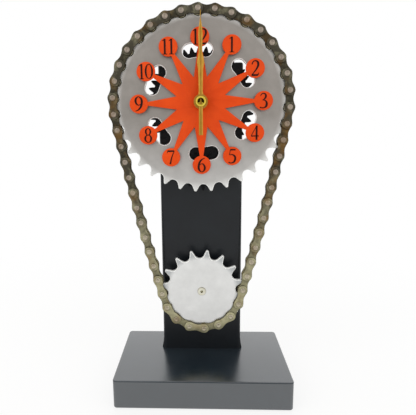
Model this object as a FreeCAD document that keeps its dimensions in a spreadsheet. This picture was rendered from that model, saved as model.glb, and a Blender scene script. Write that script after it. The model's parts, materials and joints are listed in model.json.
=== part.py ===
import FreeCAD, Part
import math
import os
import re
import Sketcher
from FreeCAD import Placement, Rotation, Vector

# A table clock: two chain sprockets on an upright, with a star dial in front of the large one.
# X runs to the right, Y from the front to the back, Z up. The origin is the middle of the footprint.

doc = FreeCAD.newDocument("table_clock")
sizes = doc.addObject("Spreadsheet::Sheet", "sizes")
places = doc.addObject("Spreadsheet::Sheet", "places")
sheet_of = {}
pieces = []

UP = Vector(0, 0, 1)
RIGHT = Vector(1, 0, 0)
HALF = math.degrees(math.pi)
QUARTER = HALF / 2
WHOLE = 2 * HALF
STOOD_UP = Rotation(RIGHT, QUARTER)

# Driving sizes: lengths in millimetres, angles in degrees, counts, and shares of another size
DRIVING_SIZES = {
    # Base block and its four pads
    "base_wide": 141,
    "base_deep": 84,
    "base_thick": 23.5,
    "base_corner": 3,
    "base_edge": 0.9,
    "pad_radius": 7,
    "pad_thick": 1.5,
    "pad_recess": 0.5,
    "pad_inset": 13,
    # Column, with its room round the movement, and its foot
    "column_wall": 1.5,
    "column_bend": 2.5,
    "column_margin": 5,
    "column_side_room": 4.6,
    "column_top_room": 2.5,
    "column_back_room": 10.2,
    "flare_high": 9,
    "flare_wide": 1.5,
    "flare_lip": 0.2,
    "flare_middle_share": 0.3,
    "bracket_wall": 2,
    "bracket_high": 24,
    "bracket_end_gap": 1,
    "foot_screw_radius": 2,
    "foot_screw_long": 14,
    "foot_screw_head": 3.8,
    "foot_screw_head_thick": 2.4,
    "foot_screw_side_gap": 3.7,
    "foot_screw_end_gap": 0.7,
    # Roller chain
    "chain_pitch": 12.7,
    "chain_link_count": 50,
    "chain_lift": 21.9,
    "chain_bow": 1.5,
    "chain_side_gap": 0.15,
    "roller_radius": 3.86,
    "roller_end_play": 0.04,
    "bushing_radius": 2.5,
    "pin_radius": 1.8,
    "pin_head_rim": 0.35,
    "pin_head_thick": 0.6,
    "pin_head_gap": 0.15,
    "plate_thick": 1,
    "plate_gap": 0.1,
    "plate_end": 4.15,
    "plate_waist": 2.6,
    "plate_play": 0.02,
    "chain_play": 0.05,
    # Both sprockets
    "big_tooth_count": 34,
    "small_tooth_count": 16,
    "first_pin_angle": 91.5,
    "sprocket_thick": 3,
    "sprocket_bevel": 0.5,
    "seat_gap": 0.26,
    "big_seat_sink": 0.9,
    "seat_half_angle": 60,
    "tooth_tip_half": 0.95,
    "tooth_tip_rise": 0.45,
    "slot_count": 6,
    "slot_angle": 93.4,
    "slot_ring": 39.7,
    "slot_half_wide": 5.3,
    "slot_half_angle": 9.3,
    # Drive gear on the large sprocket, and its screws
    "gear_module": 1.8,
    "gear_tooth_count": 45,
    "gear_angle": 99.7,
    "gear_thick": 5.2,
    "gear_hub_rim": 5.45,
    "gear_hub_long": 2.6,
    "gear_hub_gap": 0.4,
    "pressure_angle": 25,
    "tooth_play_share": 0.08,
    "tooth_root_share": 1.25,
    "mesh_gap": 0.2,
    "gear_screw_radius": 1.5,
    "gear_screw_head": 2.75,
    "gear_screw_head_thick": 2,
    "gear_screw_gap": 3.25,
    "gear_screw_bite": 2,
    "gear_screw_count": 3,
    # Centre sleeve, bush and collar
    "sleeve_wall": 1.9,
    "sleeve_flange_rim": 3,
    "sleeve_flange_thick": 0.9,
    "bush_wall": 1.5,
    "collar_rim": 2.5,
    # Star dial, its numerals, washer and nut
    "star_gap": 2.2,
    "star_thick": 1.6,
    "star_disc": 7.2,
    "star_chain_gap": 9.4,
    "star_valley": 19.3,
    "star_neck": 1.4,
    "star_angle": 0.6,
    "hour_count": 12,
    "numeral_share": 0.736,
    "stroke_share": 0.052,
    "numeral_thick": 0.15,
    "dial_washer_rim": 1.2,
    "dial_washer_thick": 0.4,
    "dial_nut_wall": 0.8,
    "dial_nut_thick": 1.8,
    "thread_radius": 4,
    "thread_proud": 0.4,
    "thread_play": 0.1,
    # Hands and their tubes
    "hand_gap": 0.6,
    "hub_thick": 1.6,
    "blade_thick": 0.4,
    "tube_proud": 0.4,
    "hour_tube": 2.5,
    "minute_tube": 1.65,
    "second_shaft": 0.6,
    "arbor_play": 0.06,
    "hour_long": 40,
    "hour_broad_at": 28.5,
    "hour_broad": 2.75,
    "hour_narrow": 1.2,
    "hour_hub": 4.9,
    "minute_long": 60.5,
    "minute_broad_at": 48,
    "minute_broad": 1.6,
    "minute_narrow": 1,
    "minute_hub": 5.4,
    "second_long": 64.5,
    "second_half_wide": 0.4,
    "second_tail": 25.6,
    "tail_half_wide": 1.25,
    "cup_radius": 3.3,
    "cup_bore": 2.4,
    "cup_thick": 1.5,
    "cup_floor": 0.6,
    # Small sprocket's axle
    "axle_radius": 2.6,
    "axle_head_rim": 0.6,
    "axle_head_thick": 0.7,
    "axle_bore": 1.2,
    "axle_bore_deep": 3,
    "axle_proud": 1,
    "idler_bush_wall": 1.1,
    "idler_flange_rim": 1.75,
    "idler_flange_thick": 1.2,
    "spacer_rim": 2.4,
    "idler_washer_rim": 2.9,
    "idler_washer_thick": 1,
    "idler_nut_wall": 1.4,
    "idler_nut_thick": 4,
    # Nuts and bolt holes
    "nut_side_count": 6,
    "nut_corner_share": 1.1,
    "hole_play": 0.1,
    # Movement's case, cells and contacts
    "case_deep": 15.5,
    "case_wall": 1.2,
    "case_corner": 3,
    "cover_thick": 1.6,
    "gasket_thick": 0.8,
    "gasket_radius": 14,
    "cell_radius": 7,
    "cell_long": 48.5,
    "cell_cap_radius": 2.6,
    "cell_cap_long": 1.4,
    "cell_play": 0.4,
    "contact_thick": 0.4,
    "contact_wide": 7,
    "contact_room": 1.85,
    "contact_stud": 1.2,
    # Movement's wheels
    "wheel_thick": 0.8,
    "layer_step": 1.6,
    "arbor_radius": 0.5,
    "motion_distance": 8,
    "motion_angle": 180,
    "minute_pinion_tooth_count": 10,
    "motion_tooth_count": 30,
    "motion_pinion_tooth_count": 8,
    "hour_tooth_count": 32,
    "knob_pinion_tooth_count": 10,
    "knob_angle": 195,
    "knob_radius": 6,
    "knob_thick": 3.4,
    "knob_stem": 1.1,
    "third_distance": 10.8,
    "third_angle": 45,
    "second_pinion_tooth_count": 8,
    "third_tooth_count": 60,
    "third_pinion_tooth_count": 8,
    "centre_tooth_count": 64,
    "step_distance": 8,
    "step_angle": 120,
    "second_tooth_count": 32,
    "step_pinion_tooth_count": 8,
    "step_tooth_count": 60,
    "rotor_tooth_count": 8,
    "rotor_distance": 7.6,
    "rotor_angle": 135,
    "rotor_radius": 2.5,
    "rotor_thick": 2.4,
    # Movement's stator, coil and circuit board
    "stator_gap": 0.4,
    "stator_thick": 1,
    "stator_half_high": 4.5,
    "stator_arm_half_wide": 1.75,
    "coil_long": 22,
    "coil_radius": 3.4,
    "bobbin_radius": 4.4,
    "bobbin_core": 1.6,
    "bobbin_cheek": 1,
    "board_wide": 8,
    "board_high": 24,
    "board_thick": 1,
    "crystal_radius": 1,
    "crystal_long": 6,
    # Gear motor, its pinion and clamp
    "shaft_radius": 1.5,
    "shaft_flat": 0.5,
    "shaft_bite": 1.5,
    "motor_wide": 12,
    "motor_high": 10,
    "gearbox_long": 9,
    "can_long": 15,
    "cap_long": 1.2,
    "pinion_tooth_count": 15,
    "pinion_hub_wall": 3.5,
    "clamp_wall": 2.4,
    "clamp_ear": 7,
    "clamp_long": 8,
    "clamp_screw_radius": 1,
    "clamp_screw_head": 1.9,
    "clamp_screw_head_thick": 1.4,
    # Battery holder, springs and slide switch
    "cell_count": 2,
    "holder_wall": 1.5,
    "holder_side_deep": 11,
    "spring_radius": 3.2,
    "spring_wire": 0.35,
    "spring_turn_count": 3,
    "spring_room": 4,
    "switch_gap": 7.15,
    "switch_wide": 12,
    "switch_high": 6,
    "switch_deep": 5,
    "switch_travel": 3,
    "slider_wide": 3.5,
    "slider_high": 2.4,
    "slider_proud": 3,
    "slide_play": 0.15,
    # Shared plays, and how far a cut runs past its piece
    "run_play": 0.05,
    "end_play": 0.3,
    "overrun": 1,
    "near": 0.05,
    "halving_count": 60,
}

for line, (alias, value) in enumerate(DRIVING_SIZES.items(), start=1):
    sizes.set(f"A{line}", alias.replace("_", " "))
    sizes.set(f"B{line}", str(value))
    sizes.setAlias(f"B{line}", alias)
    sheet_of[alias] = sizes.Name
doc.recompute()


def formula(text):
    """A sum in the sheets' own words, each word pointed at its cell."""

    def cell(found):
        word = found.group()
        return f"{sheet_of[word]}.{word}" if word in sheet_of else word

    return re.sub(r"[a-z_]+", cell, text)


def pitch_radius(tooth_count):
    """Radius of the circle on which a sprocket carries the chain's pins."""
    return sizes.chain_pitch / 2 / math.sin(math.pi / tooth_count)


def strand_lean(distance):
    """Angle in radians between a straight strand of chain and the line of the two centres."""
    narrowing = pitch_radius(sizes.big_tooth_count) - pitch_radius(sizes.small_tooth_count)
    return math.asin(narrowing / distance)


def strand_long(distance):
    """Length of one straight strand between its two tangent points."""
    return distance * math.cos(strand_lean(distance))


def links_round(distance):
    """How many links go round both sprockets when their centres lie this far apart."""
    lean = strand_lean(distance)
    on_big = sizes.big_tooth_count * (math.pi + 2 * lean) / (2 * math.pi)
    on_small = sizes.small_tooth_count * (math.pi - 2 * lean) / (2 * math.pi)
    return on_big + on_small + 2 * strand_long(distance) / sizes.chain_pitch


def centre_distance():
    """The distance at which the chain is just taut, found by halving a range."""
    near = pitch_radius(sizes.big_tooth_count) + pitch_radius(sizes.small_tooth_count)
    far = sizes.chain_link_count * sizes.chain_pitch
    for halving in range(sizes.halving_count):
        middle = (near + far) / 2
        if links_round(middle) < sizes.chain_link_count:
            near = middle
        else:
            far = middle
    return (near + far) / 2


# Worked-out sizes and places: the word, its formula and what it is
WORKED_OUT = [
    ("big_radius", pitch_radius(sizes.big_tooth_count), "large sprocket's pitch radius"),
    ("small_radius", pitch_radius(sizes.small_tooth_count), "small sprocket's pitch radius"),
    ("centres", centre_distance(), "distance between the two sprockets' centres"),
    ("base_top", "pad_thick - pad_recess + base_thick", "top of the base"),
    ("idler_z", "base_top + chain_lift + plate_end + small_radius", "small sprocket's centre"),
    ("dial_height", "idler_z + centres", "dial centre"),
    ("seat_radius", "roller_radius + seat_gap", "roller seat between two teeth"),
    ("pin_head", "pin_radius + pin_head_rim", "chain pin's riveted head, radius"),
    ("inner_wide", "sprocket_thick + 2 * chain_side_gap", "chain, between its inner plates"),
    ("outer_wide", "inner_wide + 2 * plate_thick + 2 * plate_gap", "chain, between its outer plates"),
    ("pin_long", "outer_wide + 2 * (plate_thick + pin_head_gap + pin_head_thick)",
     "chain pin over its heads"),
    ("centre_tip", "third_distance * (centre_tooth_count + 2)"
     " / (third_pinion_tooth_count + centre_tooth_count)", "centre wheel's tip radius"),
    ("cell_drop", "centre_tip + end_play + case_wall + cell_radius + cell_play",
     "movement's cell below the centre"),
    ("case_wide", "2 * case_wall + max(2 * (cell_drop + cell_radius + cell_play); "
     "cell_long + cell_cap_long + 2 * contact_room)", "movement's case, across and up"),
    ("column_wide", "case_wide + 2 * (column_side_room + column_wall)", "column, left to right"),
    ("column_deep", "column_wall + gasket_thick + case_deep + column_back_room", "column, front to back"),
    ("column_top", "dial_height + case_wide / 2 + column_top_room + column_wall", "top of the column"),
    ("column_back", "base_deep / 2 - column_margin", "depth of the column's rear edges"),
    ("column_face", "column_back - column_deep", "depth of the column's face"),
    ("column_inside", "column_face + column_wall", "depth behind the column's face sheet"),
    ("column_middle", "column_face + column_deep / 2", "depth of the column's middle"),
    ("column_half", "column_wide / 2 - column_wall", "half the column's inside width"),
    ("foot_screw_across", "column_half - bracket_wall - foot_screw_head - foot_screw_side_gap",
     "foot screw from the middle, sideways"),
    ("foot_screw_deep", "column_deep / 2 - column_wall - bracket_end_gap - foot_screw_head"
     " - foot_screw_end_gap", "foot screw from the column's middle, front to back"),
    ("sleeve_radius", "thread_radius + thread_play + sleeve_wall", "centre sleeve"),
    ("sleeve_bore", "thread_radius + thread_play", "centre sleeve and dial on the threaded bush"),
    ("bush_bore", "sleeve_radius + run_play", "large sprocket's bush, inside"),
    ("bush_radius", "bush_bore + bush_wall", "large sprocket's bush"),
    ("flange_face", "column_face - sleeve_flange_thick", "depth of the centre sleeve's flange"),
    ("gear_screw_ring", "bush_radius + gear_hub_rim + gear_screw_head + gear_screw_gap",
     "gear screws' circle"),
    ("gear_hub_back", "flange_face - end_play - gear_hub_gap", "depth of the drive gear's hub end"),
    ("gear_back", "gear_hub_back - gear_hub_long", "depth of the drive gear's back"),
    ("disc_back", "gear_back - gear_thick", "depth of the sprockets' backs"),
    ("disc_front", "disc_back - sprocket_thick", "depth of the sprockets' faces"),
    ("chain_plane", "disc_back - sprocket_thick / 2", "depth of the chain's middle plane"),
    ("star_back", "disc_front - star_gap", "depth of the star's back"),
    ("star_face", "star_back - star_thick", "depth of the star's face"),
    ("star_ring", "big_radius - plate_end - star_chain_gap - star_disc",
     "numeral disc from the dial centre"),
    ("numeral_high", "2 * star_disc * numeral_share", "numeral"),
    ("washer_face", "star_face - dial_washer_thick", "depth of the dial washer's face"),
    ("nut_face", "washer_face - dial_nut_thick", "depth of the dial nut's face"),
    ("thread_end", "nut_face - thread_proud", "front end of the threaded bush"),
    ("hour_back", "thread_end - hand_gap", "back of the hour hand's hub"),
    ("hour_face", "hour_back - hub_thick", "face of the hour hand's hub"),
    ("minute_back", "hour_face - tube_proud - hand_gap", "back of the minute hand's hub"),
    ("minute_face", "minute_back - hub_thick", "face of the minute hand's hub"),
    ("second_back", "minute_face - tube_proud - hand_gap", "back of the second hand's cup"),
    ("second_face", "second_back - cup_thick", "face of the second hand's cup"),
    ("idler_bush_bore", "axle_radius + run_play", "small sprocket's bush, inside"),
    ("idler_bush_radius", "idler_bush_bore + idler_bush_wall", "small sprocket's bush"),
    ("idler_flange_back", "disc_back + idler_flange_thick", "depth of the small sprocket's bush flange"),
    ("idler_washer_back", "column_inside + idler_washer_thick", "depth of the washer's back"),
    ("idler_nut_back", "idler_washer_back + idler_nut_thick", "depth of the nut's back"),
    ("case_front", "column_inside + gasket_thick", "front of the movement"),
    ("case_inside", "case_front + cover_thick", "inside of the movement's cover"),
    ("case_back", "case_front + case_deep", "back of the movement"),
    ("case_rear_wall", "case_back - case_wall", "inside of the movement's rear wall"),
    ("case_half", "case_wide / 2 - case_wall", "half the movement's inside width"),
    ("bay_top", "dial_height - cell_drop + cell_radius + cell_play", "top of the movement's cell bay"),
    ("layer_first", "case_inside + end_play", "front of the movement's first wheels"),
    ("layer_second", "layer_first + layer_step", "front of the second layer"),
    ("layer_third", "layer_second + layer_step", "front of the third layer"),
    ("layer_fourth", "layer_third + layer_step", "front of the fourth layer"),
    ("layer_fifth", "layer_fourth + layer_step", "front of the fifth layer"),
    ("layer_sixth", "layer_fifth + layer_step", "front of the sixth layer"),
    ("magnet_back", "layer_sixth - end_play", "depth of the rotor magnet's back"),
    ("motion_x", "motion_distance * cos(motion_angle)", "motion arbor"),
    ("motion_z", "dial_height + motion_distance * sin(motion_angle)", "motion arbor"),
    ("third_x", "third_distance * cos(third_angle)", "third arbor"),
    ("third_z", "dial_height + third_distance * sin(third_angle)", "third arbor"),
    ("step_x", "step_distance * cos(step_angle)", "step arbor"),
    ("step_z", "dial_height + step_distance * sin(step_angle)", "step arbor"),
    ("step_tip", "step_distance * (step_pinion_tooth_count + 2)"
     " / (step_pinion_tooth_count + second_tooth_count)", "step pinion's tip radius"),
    ("rotor_x", "step_x + rotor_distance * cos(rotor_angle)", "rotor"),
    ("rotor_z", "step_z + rotor_distance * sin(rotor_angle)", "rotor"),
    ("knob_distance", "motion_distance * (knob_pinion_tooth_count + motion_tooth_count) "
     "/ (minute_pinion_tooth_count + motion_tooth_count)", "setting knob from the motion arbor"),
    ("knob_x", "motion_x + knob_distance * cos(knob_angle)", "setting knob"),
    ("knob_z", "motion_z + knob_distance * sin(knob_angle)", "setting knob"),
    ("coil_z", "dial_height + case_half - bobbin_radius - end_play", "coil"),
    ("coil_y", "magnet_back - rotor_thick / 2", "depth of the stator, the coil and the rotor's magnet"),
    ("pinion_z", "dial_height - gear_module * (gear_tooth_count + pinion_tooth_count) / 2 - mesh_gap",
     "motor pinion"),
    ("pinion_face", "disc_back + end_play", "depth of the motor pinion's face"),
    ("flat_z", "pinion_z + shaft_radius - shaft_flat", "flat on the motor's output shaft"),
    ("gearbox_back", "column_inside + gearbox_long", "depth of the gearbox's back"),
    ("can_back", "gearbox_back + can_long", "depth of the can's back"),
    ("clamp_screw_x", "motor_wide / 2 + clamp_wall + clamp_ear / 2", "clamp screw from the middle"),
    ("clamp_face", "column_inside + clamp_wall", "depth of the clamp's ears"),
    ("switch_low", "idler_z + axle_radius + idler_washer_rim + switch_gap", "slide switch's lower edge"),
    ("switch_z", "switch_low + switch_high / 2", "slide switch's middle"),
    ("holder_low", "switch_low + switch_high + end_play", "battery holder's lower edge"),
    ("holder_back", "column_inside + holder_side_deep", "depth of the battery holder's side walls"),
    ("holder_half", "cell_count * (cell_radius + cell_play) + holder_wall",
     "half the battery holder's width"),
    ("cells_low", "holder_low + holder_wall + spring_room", "lower end of the motor's cells"),
    ("cells_cap", "cells_low + cell_long", "upper end of the motor's cells under their caps"),
    ("holder_top", "cells_cap + cell_cap_long + holder_wall", "battery holder's upper edge"),
]

for line, (alias, text, words) in enumerate(WORKED_OUT, start=1):
    places.set(f"A{line}", words)
    places.set(f"B{line}", "=" + formula(str(text)))
    places.setAlias(f"B{line}", alias)
    sheet_of[alias] = places.Name
doc.recompute()


# Small tools that build one kind of shape each

def put(thing, x="0", y="0", z="0"):
    """Tie a thing's position to formulas in the sheets' words."""
    for axis, text in zip("xyz", (x, y, z)):
        thing.setExpression(f".Placement.Base.{axis}", formula(text))


def named(thing, label):
    """Give a finished piece its own name and list it for export."""
    thing.Label = label
    pieces.append(thing)
    return thing


def rod(radius, start, end, x="0", z="dial_height"):
    """A cylinder that lies front to back between two depths."""
    thing = doc.addObject("Part::Cylinder", "rod")
    thing.setExpression("Radius", formula(radius))
    thing.setExpression("Height", formula(f"({end}) - ({start})"))
    thing.Placement = Placement(Vector(), Rotation(RIGHT, -QUARTER))
    put(thing, x, start, z)
    return thing


def post(radius, low, high, x="0", y="0"):
    """An upright cylinder between two heights."""
    thing = doc.addObject("Part::Cylinder", "post")
    thing.setExpression("Radius", formula(radius))
    thing.setExpression("Height", formula(f"({high}) - ({low})"))
    put(thing, x, y, low)
    return thing


def beam(radius, left, right, y="0", z="0"):
    """A cylinder that lies left to right."""
    thing = doc.addObject("Part::Cylinder", "beam")
    thing.setExpression("Radius", formula(radius))
    thing.setExpression("Height", formula(f"({right}) - ({left})"))
    thing.Placement = Placement(Vector(), Rotation(Vector(0, 1, 0), QUARTER))
    put(thing, left, y, z)
    return thing


def block(left, right, front, back, low, high):
    """A box between six formulas."""
    thing = doc.addObject("Part::Box", "block")
    thing.setExpression("Length", formula(f"({right}) - ({left})"))
    thing.setExpression("Width", formula(f"({back}) - ({front})"))
    thing.setExpression("Height", formula(f"({high}) - ({low})"))
    put(thing, left, front, low)
    return thing


def fuse(*things):
    """Several overlapping things made one."""
    thing = doc.addObject("Part::MultiFuse", "joined")
    thing.Shapes = list(things)
    thing.Refine = True
    return thing


def group(*things):
    """Like pieces kept as separate solids in one node."""
    thing = doc.addObject("Part::Compound", "set")
    thing.Links = list(things)
    return thing


def cut(base, *tools):
    """One thing with others taken out of it."""
    thing = doc.addObject("Part::Cut", "cut")
    thing.Base = base
    thing.Tool = tools[0] if len(tools) == 1 else group(*tools)
    return thing


def ring(outer, inner, start, end, x="0", z="dial_height"):
    """A tube that lies front to back."""
    return cut(rod(outer, start, end, x, z), rod(inner, f"{start} - overrun", f"{end} + overrun", x, z))


def hexagon(flats, start, end, bore, x="0", z="dial_height"):
    """A nut that lies front to back, with its six corners trimmed."""
    prism = doc.addObject("Part::Prism", "hexagon")
    prism.Polygon = sizes.nut_side_count
    prism.setExpression("Circumradius", formula(f"{flats} / 2 / cos({HALF / sizes.nut_side_count})"))
    prism.setExpression("Height", formula(f"({end}) - ({start})"))
    prism.Placement = Placement(Vector(), Rotation(RIGHT, -QUARTER))
    put(prism, x, start, z)
    round_blank = rod(f"{flats} / 2 * nut_corner_share", start, end, x, z)
    trimmed = doc.addObject("Part::MultiCommon", "trimmed")
    trimmed.Shapes = [prism, round_blank]
    return cut(trimmed, rod(bore, f"{start} - overrun", f"{end} + overrun", x, z))


def new_body(label, x="0", y="0", z="0"):
    """A body drawn in its own frame and set at its place."""
    body = doc.addObject("PartDesign::Body", label)
    put(body, x, y, z)
    return body


def sketch_on(body, role, edges):
    """A closed outline on one of the body's own planes. XZ is seen from the front."""
    plane = next(part for part in body.Origin.OriginFeatures if part.Role == role)
    sketch = body.newObject("Sketcher::SketchObject", "outline")
    sketch.AttachmentSupport = (plane, [""])
    sketch.MapMode = "FlatFace"
    sketch.addGeometry(edges, False)
    return sketch


def pad(body, sketch, length, reverse=True):
    """Thicken an outline. An outline on XZ grows backwards when it is reversed."""
    feature = body.newObject("PartDesign::Pad", "pad")
    feature.Profile = sketch
    feature.setExpression("Length", formula(length))
    feature.Reversed = reverse
    sketch.Visibility = False
    return feature


def dress_edges(body, kind, measure, alias, is_chosen):
    """Round or bevel those edges of a body that pass a test."""
    doc.recompute()
    under = body.Tip
    chosen = [f"Edge{number}" for number, edge in enumerate(under.Shape.Edges, start=1) if is_chosen(edge)]
    feature = body.newObject(kind, "dressed_edges")
    feature.Base = (under, chosen)
    feature.setExpression(measure, formula(alias))
    body.Tip = feature


def polar(radius, angle):
    """A point of an outline, from its distance and its angle in degrees."""
    return Vector(radius * math.cos(math.radians(angle)), radius * math.sin(math.radians(angle)), 0)


def circle(radius, centre=Vector()):
    """A circle of an outline."""
    return Part.Circle(centre, UP, radius)


def lines_through(points):
    """A closed outline of straight edges."""
    return [Part.LineSegment(start, end) for start, end in zip(points, points[1:] + points[:1])]


def straight(start, end):
    """One straight edge."""
    return Part.LineSegment(start, end)


def bent(start, through, end):
    """One round edge through three points."""
    return Part.Arc(start, through, end)


# Base block, its four pads and the foot of the column

def rounded_rectangle(wide, high, radius):
    """A rectangle about the origin with round corners."""
    across = wide / 2 - radius
    up = high / 2 - radius
    edges = []
    corners = [(across, up, 0), (-across, up, 1), (-across, -up, 2), (across, -up, 3)]
    for (x, y, turn), (next_x, next_y, next_turn) in zip(corners, corners[1:] + corners[:1]):
        centre = Vector(x, y, 0)
        start = centre + polar(radius, turn * QUARTER)
        end = centre + polar(radius, (turn + 1) * QUARTER)
        edges.append(bent(start, centre + polar(radius, (turn + 0.5) * QUARTER), end))
        edges.append(straight(end, Vector(next_x, next_y, 0) + polar(radius, next_turn * QUARTER)))
    return edges


def all_corners(x, y):
    """The four mirror images of one place, as formulas."""
    return [(f"{side} * ({x})", f"{way} * ({y})") for side in (-1, 1) for way in (-1, 1)]


PAD_PLACES = all_corners("base_wide / 2 - pad_inset", "base_deep / 2 - pad_inset")
SCREW_PLACES = all_corners("foot_screw_across", "foot_screw_deep")


def make_base():
    """A solid block, lacquered, with recesses for the pads and pilot holes for the foot screws."""
    blank = new_body("base_blank", z="pad_thick - pad_recess")
    edges = rounded_rectangle(sizes.base_wide, sizes.base_deep, sizes.base_corner)
    pad(blank, sketch_on(blank, "XY_Plane", edges), "base_thick", reverse=False)
    dress_edges(blank, "PartDesign::Fillet", "Radius", "base_edge",
                lambda edge: edge.BoundBox.ZLength < sizes.near)
    recesses = [post("pad_radius", "pad_thick - pad_recess - overrun", "pad_thick", x, y)
                for x, y in PAD_PLACES]
    pilots = [post("foot_screw_radius", "base_top - foot_screw_long - overrun", "base_top + overrun", x,
                   f"{y} + column_middle") for x, y in SCREW_PLACES]
    named(cut(blank, *recesses, *pilots), "base_block")
    named(group(*[post("pad_radius", "0", "pad_thick", x, y) for x, y in PAD_PLACES]), "foot_pads")


def make_foot():
    """A bracket welded inside the column, and four screws down into the base."""
    front = "column_inside + bracket_end_gap"
    back = "column_back - bracket_end_gap"
    top = "base_top + bracket_wall"
    high = "base_top + bracket_high"
    plate = block("-column_half", "column_half", front, back, "base_top", top)
    left = block("-column_half", "bracket_wall - column_half", front, back, "base_top", high)
    right = block("column_half - bracket_wall", "column_half", front, back, "base_top", high)
    holes = [post("foot_screw_radius + hole_play", "base_top - overrun", f"{top} + overrun", x,
                  f"{y} + column_middle") for x, y in SCREW_PLACES]
    named(cut(fuse(plate, left, right), *holes), "foot_bracket")
    screws = []
    for x, y in SCREW_PLACES:
        deep = f"{y} + column_middle"
        shank = post("foot_screw_radius", "base_top - foot_screw_long", top, x, deep)
        head = post("foot_screw_head", top, f"{top} + foot_screw_head_thick", x, deep)
        screws.append(fuse(shank, head))
    named(group(*screws), "foot_screws")


def make_flares():
    """A narrow flare with a hollow face, welded up each side of the column's foot."""
    flares = []
    for side in (-1, 1):
        middle = sizes.flare_lip + (sizes.flare_wide - sizes.flare_lip) * sizes.flare_middle_share
        low_wall = Vector(side * places.column_wide / 2, 0, 0)
        high_wall = Vector(low_wall.x, sizes.flare_high, 0)
        foot = low_wall + RIGHT * side * sizes.flare_wide
        top = high_wall + RIGHT * side * sizes.flare_lip
        hollow = (low_wall + high_wall) / 2 + RIGHT * side * middle
        flare = new_body("flare_blank", "0", "column_face + column_bend", "base_top")
        edges = [straight(low_wall, foot), bent(foot, hollow, top), straight(top, high_wall),
                 straight(high_wall, low_wall)]
        pad(flare, sketch_on(flare, "XZ_Plane", edges), "column_deep - column_bend")
        flares.append(flare)
    named(group(*flares), "foot_flares")


def make_column():
    """A sheet folded into a channel, open at the back, with a folded top and holes for shafts."""
    wide = places.column_wide
    deep = places.column_deep
    bend = sizes.column_bend
    outer = [Vector(-wide / 2, places.column_back, 0), Vector(wide / 2, places.column_back, 0)]
    low = places.column_face
    column = new_body("column_blank", z="base_top")
    right_fold = Vector(wide / 2 - bend, low + bend, 0)
    left_fold = Vector(-wide / 2 + bend, low + bend, 0)
    sideways = Vector(bend, 0, 0)
    forwards = Vector(0, -bend, 0)
    outline = [
        straight(outer[0], outer[1]),
        straight(outer[1], right_fold + sideways),
        bent(right_fold + sideways, right_fold + polar(bend, -QUARTER / 2), right_fold + forwards),
        straight(right_fold + forwards, left_fold + forwards),
        bent(left_fold + forwards, left_fold + polar(bend, QUARTER / 2 - HALF), left_fold - sideways),
        straight(left_fold - sideways, outer[0]),
    ]
    pad(column, sketch_on(column, "XY_Plane", outline), "column_top - base_top", reverse=False)
    high = places.column_top - places.base_top
    dress_edges(column, "PartDesign::Fillet", "Radius", "column_wall",
                lambda edge: edge.BoundBox.ZMin > high - sizes.near
                and edge.BoundBox.YMin < places.column_back - sizes.near)
    inside = block("-column_half", "column_half", "column_inside", "column_back + overrun",
                   "base_top - overrun", "column_top - column_wall")
    through = "column_inside + overrun"
    holes = [rod("sleeve_bore", "column_face - overrun", through),
             rod("axle_radius + hole_play", "column_face - overrun", through, "0", "idler_z"),
             rod("shaft_radius + hole_play", "column_face - overrun", through, "0", "pinion_z")]
    for side in (-1, 1):
        place = f"{side} * clamp_screw_x"
        holes.append(rod("clamp_screw_radius", "column_face - overrun", through, place, "pinion_z"))
    named(cut(column, inside, *holes), "column")


make_base()
make_foot()
make_flares()
make_column()


# Sprockets, drive gear and motor pinion

def sprocket_outline(teeth, first_angle, sink):
    """One round seat for each pin's roller, with a pointed tooth between two seats."""
    centre_ring = pitch_radius(teeth) - sink
    step = WHOLE / teeth
    seat = places.seat_radius
    reach = math.radians(sizes.seat_half_angle)

    def seat_point(angle, lean):
        out = polar(centre_ring - seat * math.cos(lean), angle)
        return out + polar(seat * math.sin(lean), angle + QUARTER)

    def tip_corner(angle, side):
        start = seat_point(angle, side * reach)
        flank = polar(math.sin(reach), angle) + polar(side * math.cos(reach), angle + QUARTER)
        across = polar(1, angle + side * (step / 2 + QUARTER))
        run = (-sizes.tooth_tip_half - start.dot(across)) / flank.dot(across)
        return start + flank * run

    edges = []
    for tooth in range(teeth):
        angle = first_angle + tooth * step
        following = angle + step
        rising = tip_corner(angle, 1)
        falling = tip_corner(following, -1)
        tip = polar(rising.Length + sizes.tooth_tip_rise, angle + step / 2)
        edges.append(bent(seat_point(angle, -reach), seat_point(angle, 0), seat_point(angle, reach)))
        edges.append(straight(seat_point(angle, reach), rising))
        edges.append(bent(rising, tip, falling))
        edges.append(straight(falling, seat_point(following, -reach)))
    return edges


def slot_outline(middle_angle):
    """A slot bent round the centre, with round ends."""
    ring_radius = sizes.slot_ring
    half = sizes.slot_half_wide
    first = middle_angle - sizes.slot_half_angle
    last = middle_angle + sizes.slot_half_angle
    outer = ring_radius + half
    inner = ring_radius - half
    first_end = polar(ring_radius, first) + polar(half, first - QUARTER)
    last_end = polar(ring_radius, last) + polar(half, last + QUARTER)
    return [
        bent(polar(outer, first), polar(outer, middle_angle), polar(outer, last)),
        bent(polar(outer, last), last_end, polar(inner, last)),
        bent(polar(inner, last), polar(inner, middle_angle), polar(inner, first)),
        bent(polar(inner, first), first_end, polar(outer, first)),
    ]


def make_sprocket(label, teeth, first_angle, bore, z, sink=0, slots=0):
    """A flat steel disc with teeth, a bore and perhaps slots, all bevelled in front but the bore."""
    body = new_body(label, "0", "disc_front", z)
    edges = sprocket_outline(teeth, first_angle, sink)
    edges.append(circle(bore))
    for slot in range(slots):
        edges.extend(slot_outline(sizes.slot_angle + slot * WHOLE / slots))
    pad(body, sketch_on(body, "XZ_Plane", edges), "sprocket_thick")
    dress_edges(body, "PartDesign::Chamfer", "Size", "sprocket_bevel",
                lambda edge: edge.BoundBox.YMax < sizes.near and not edge.isClosed())
    return body


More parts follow.
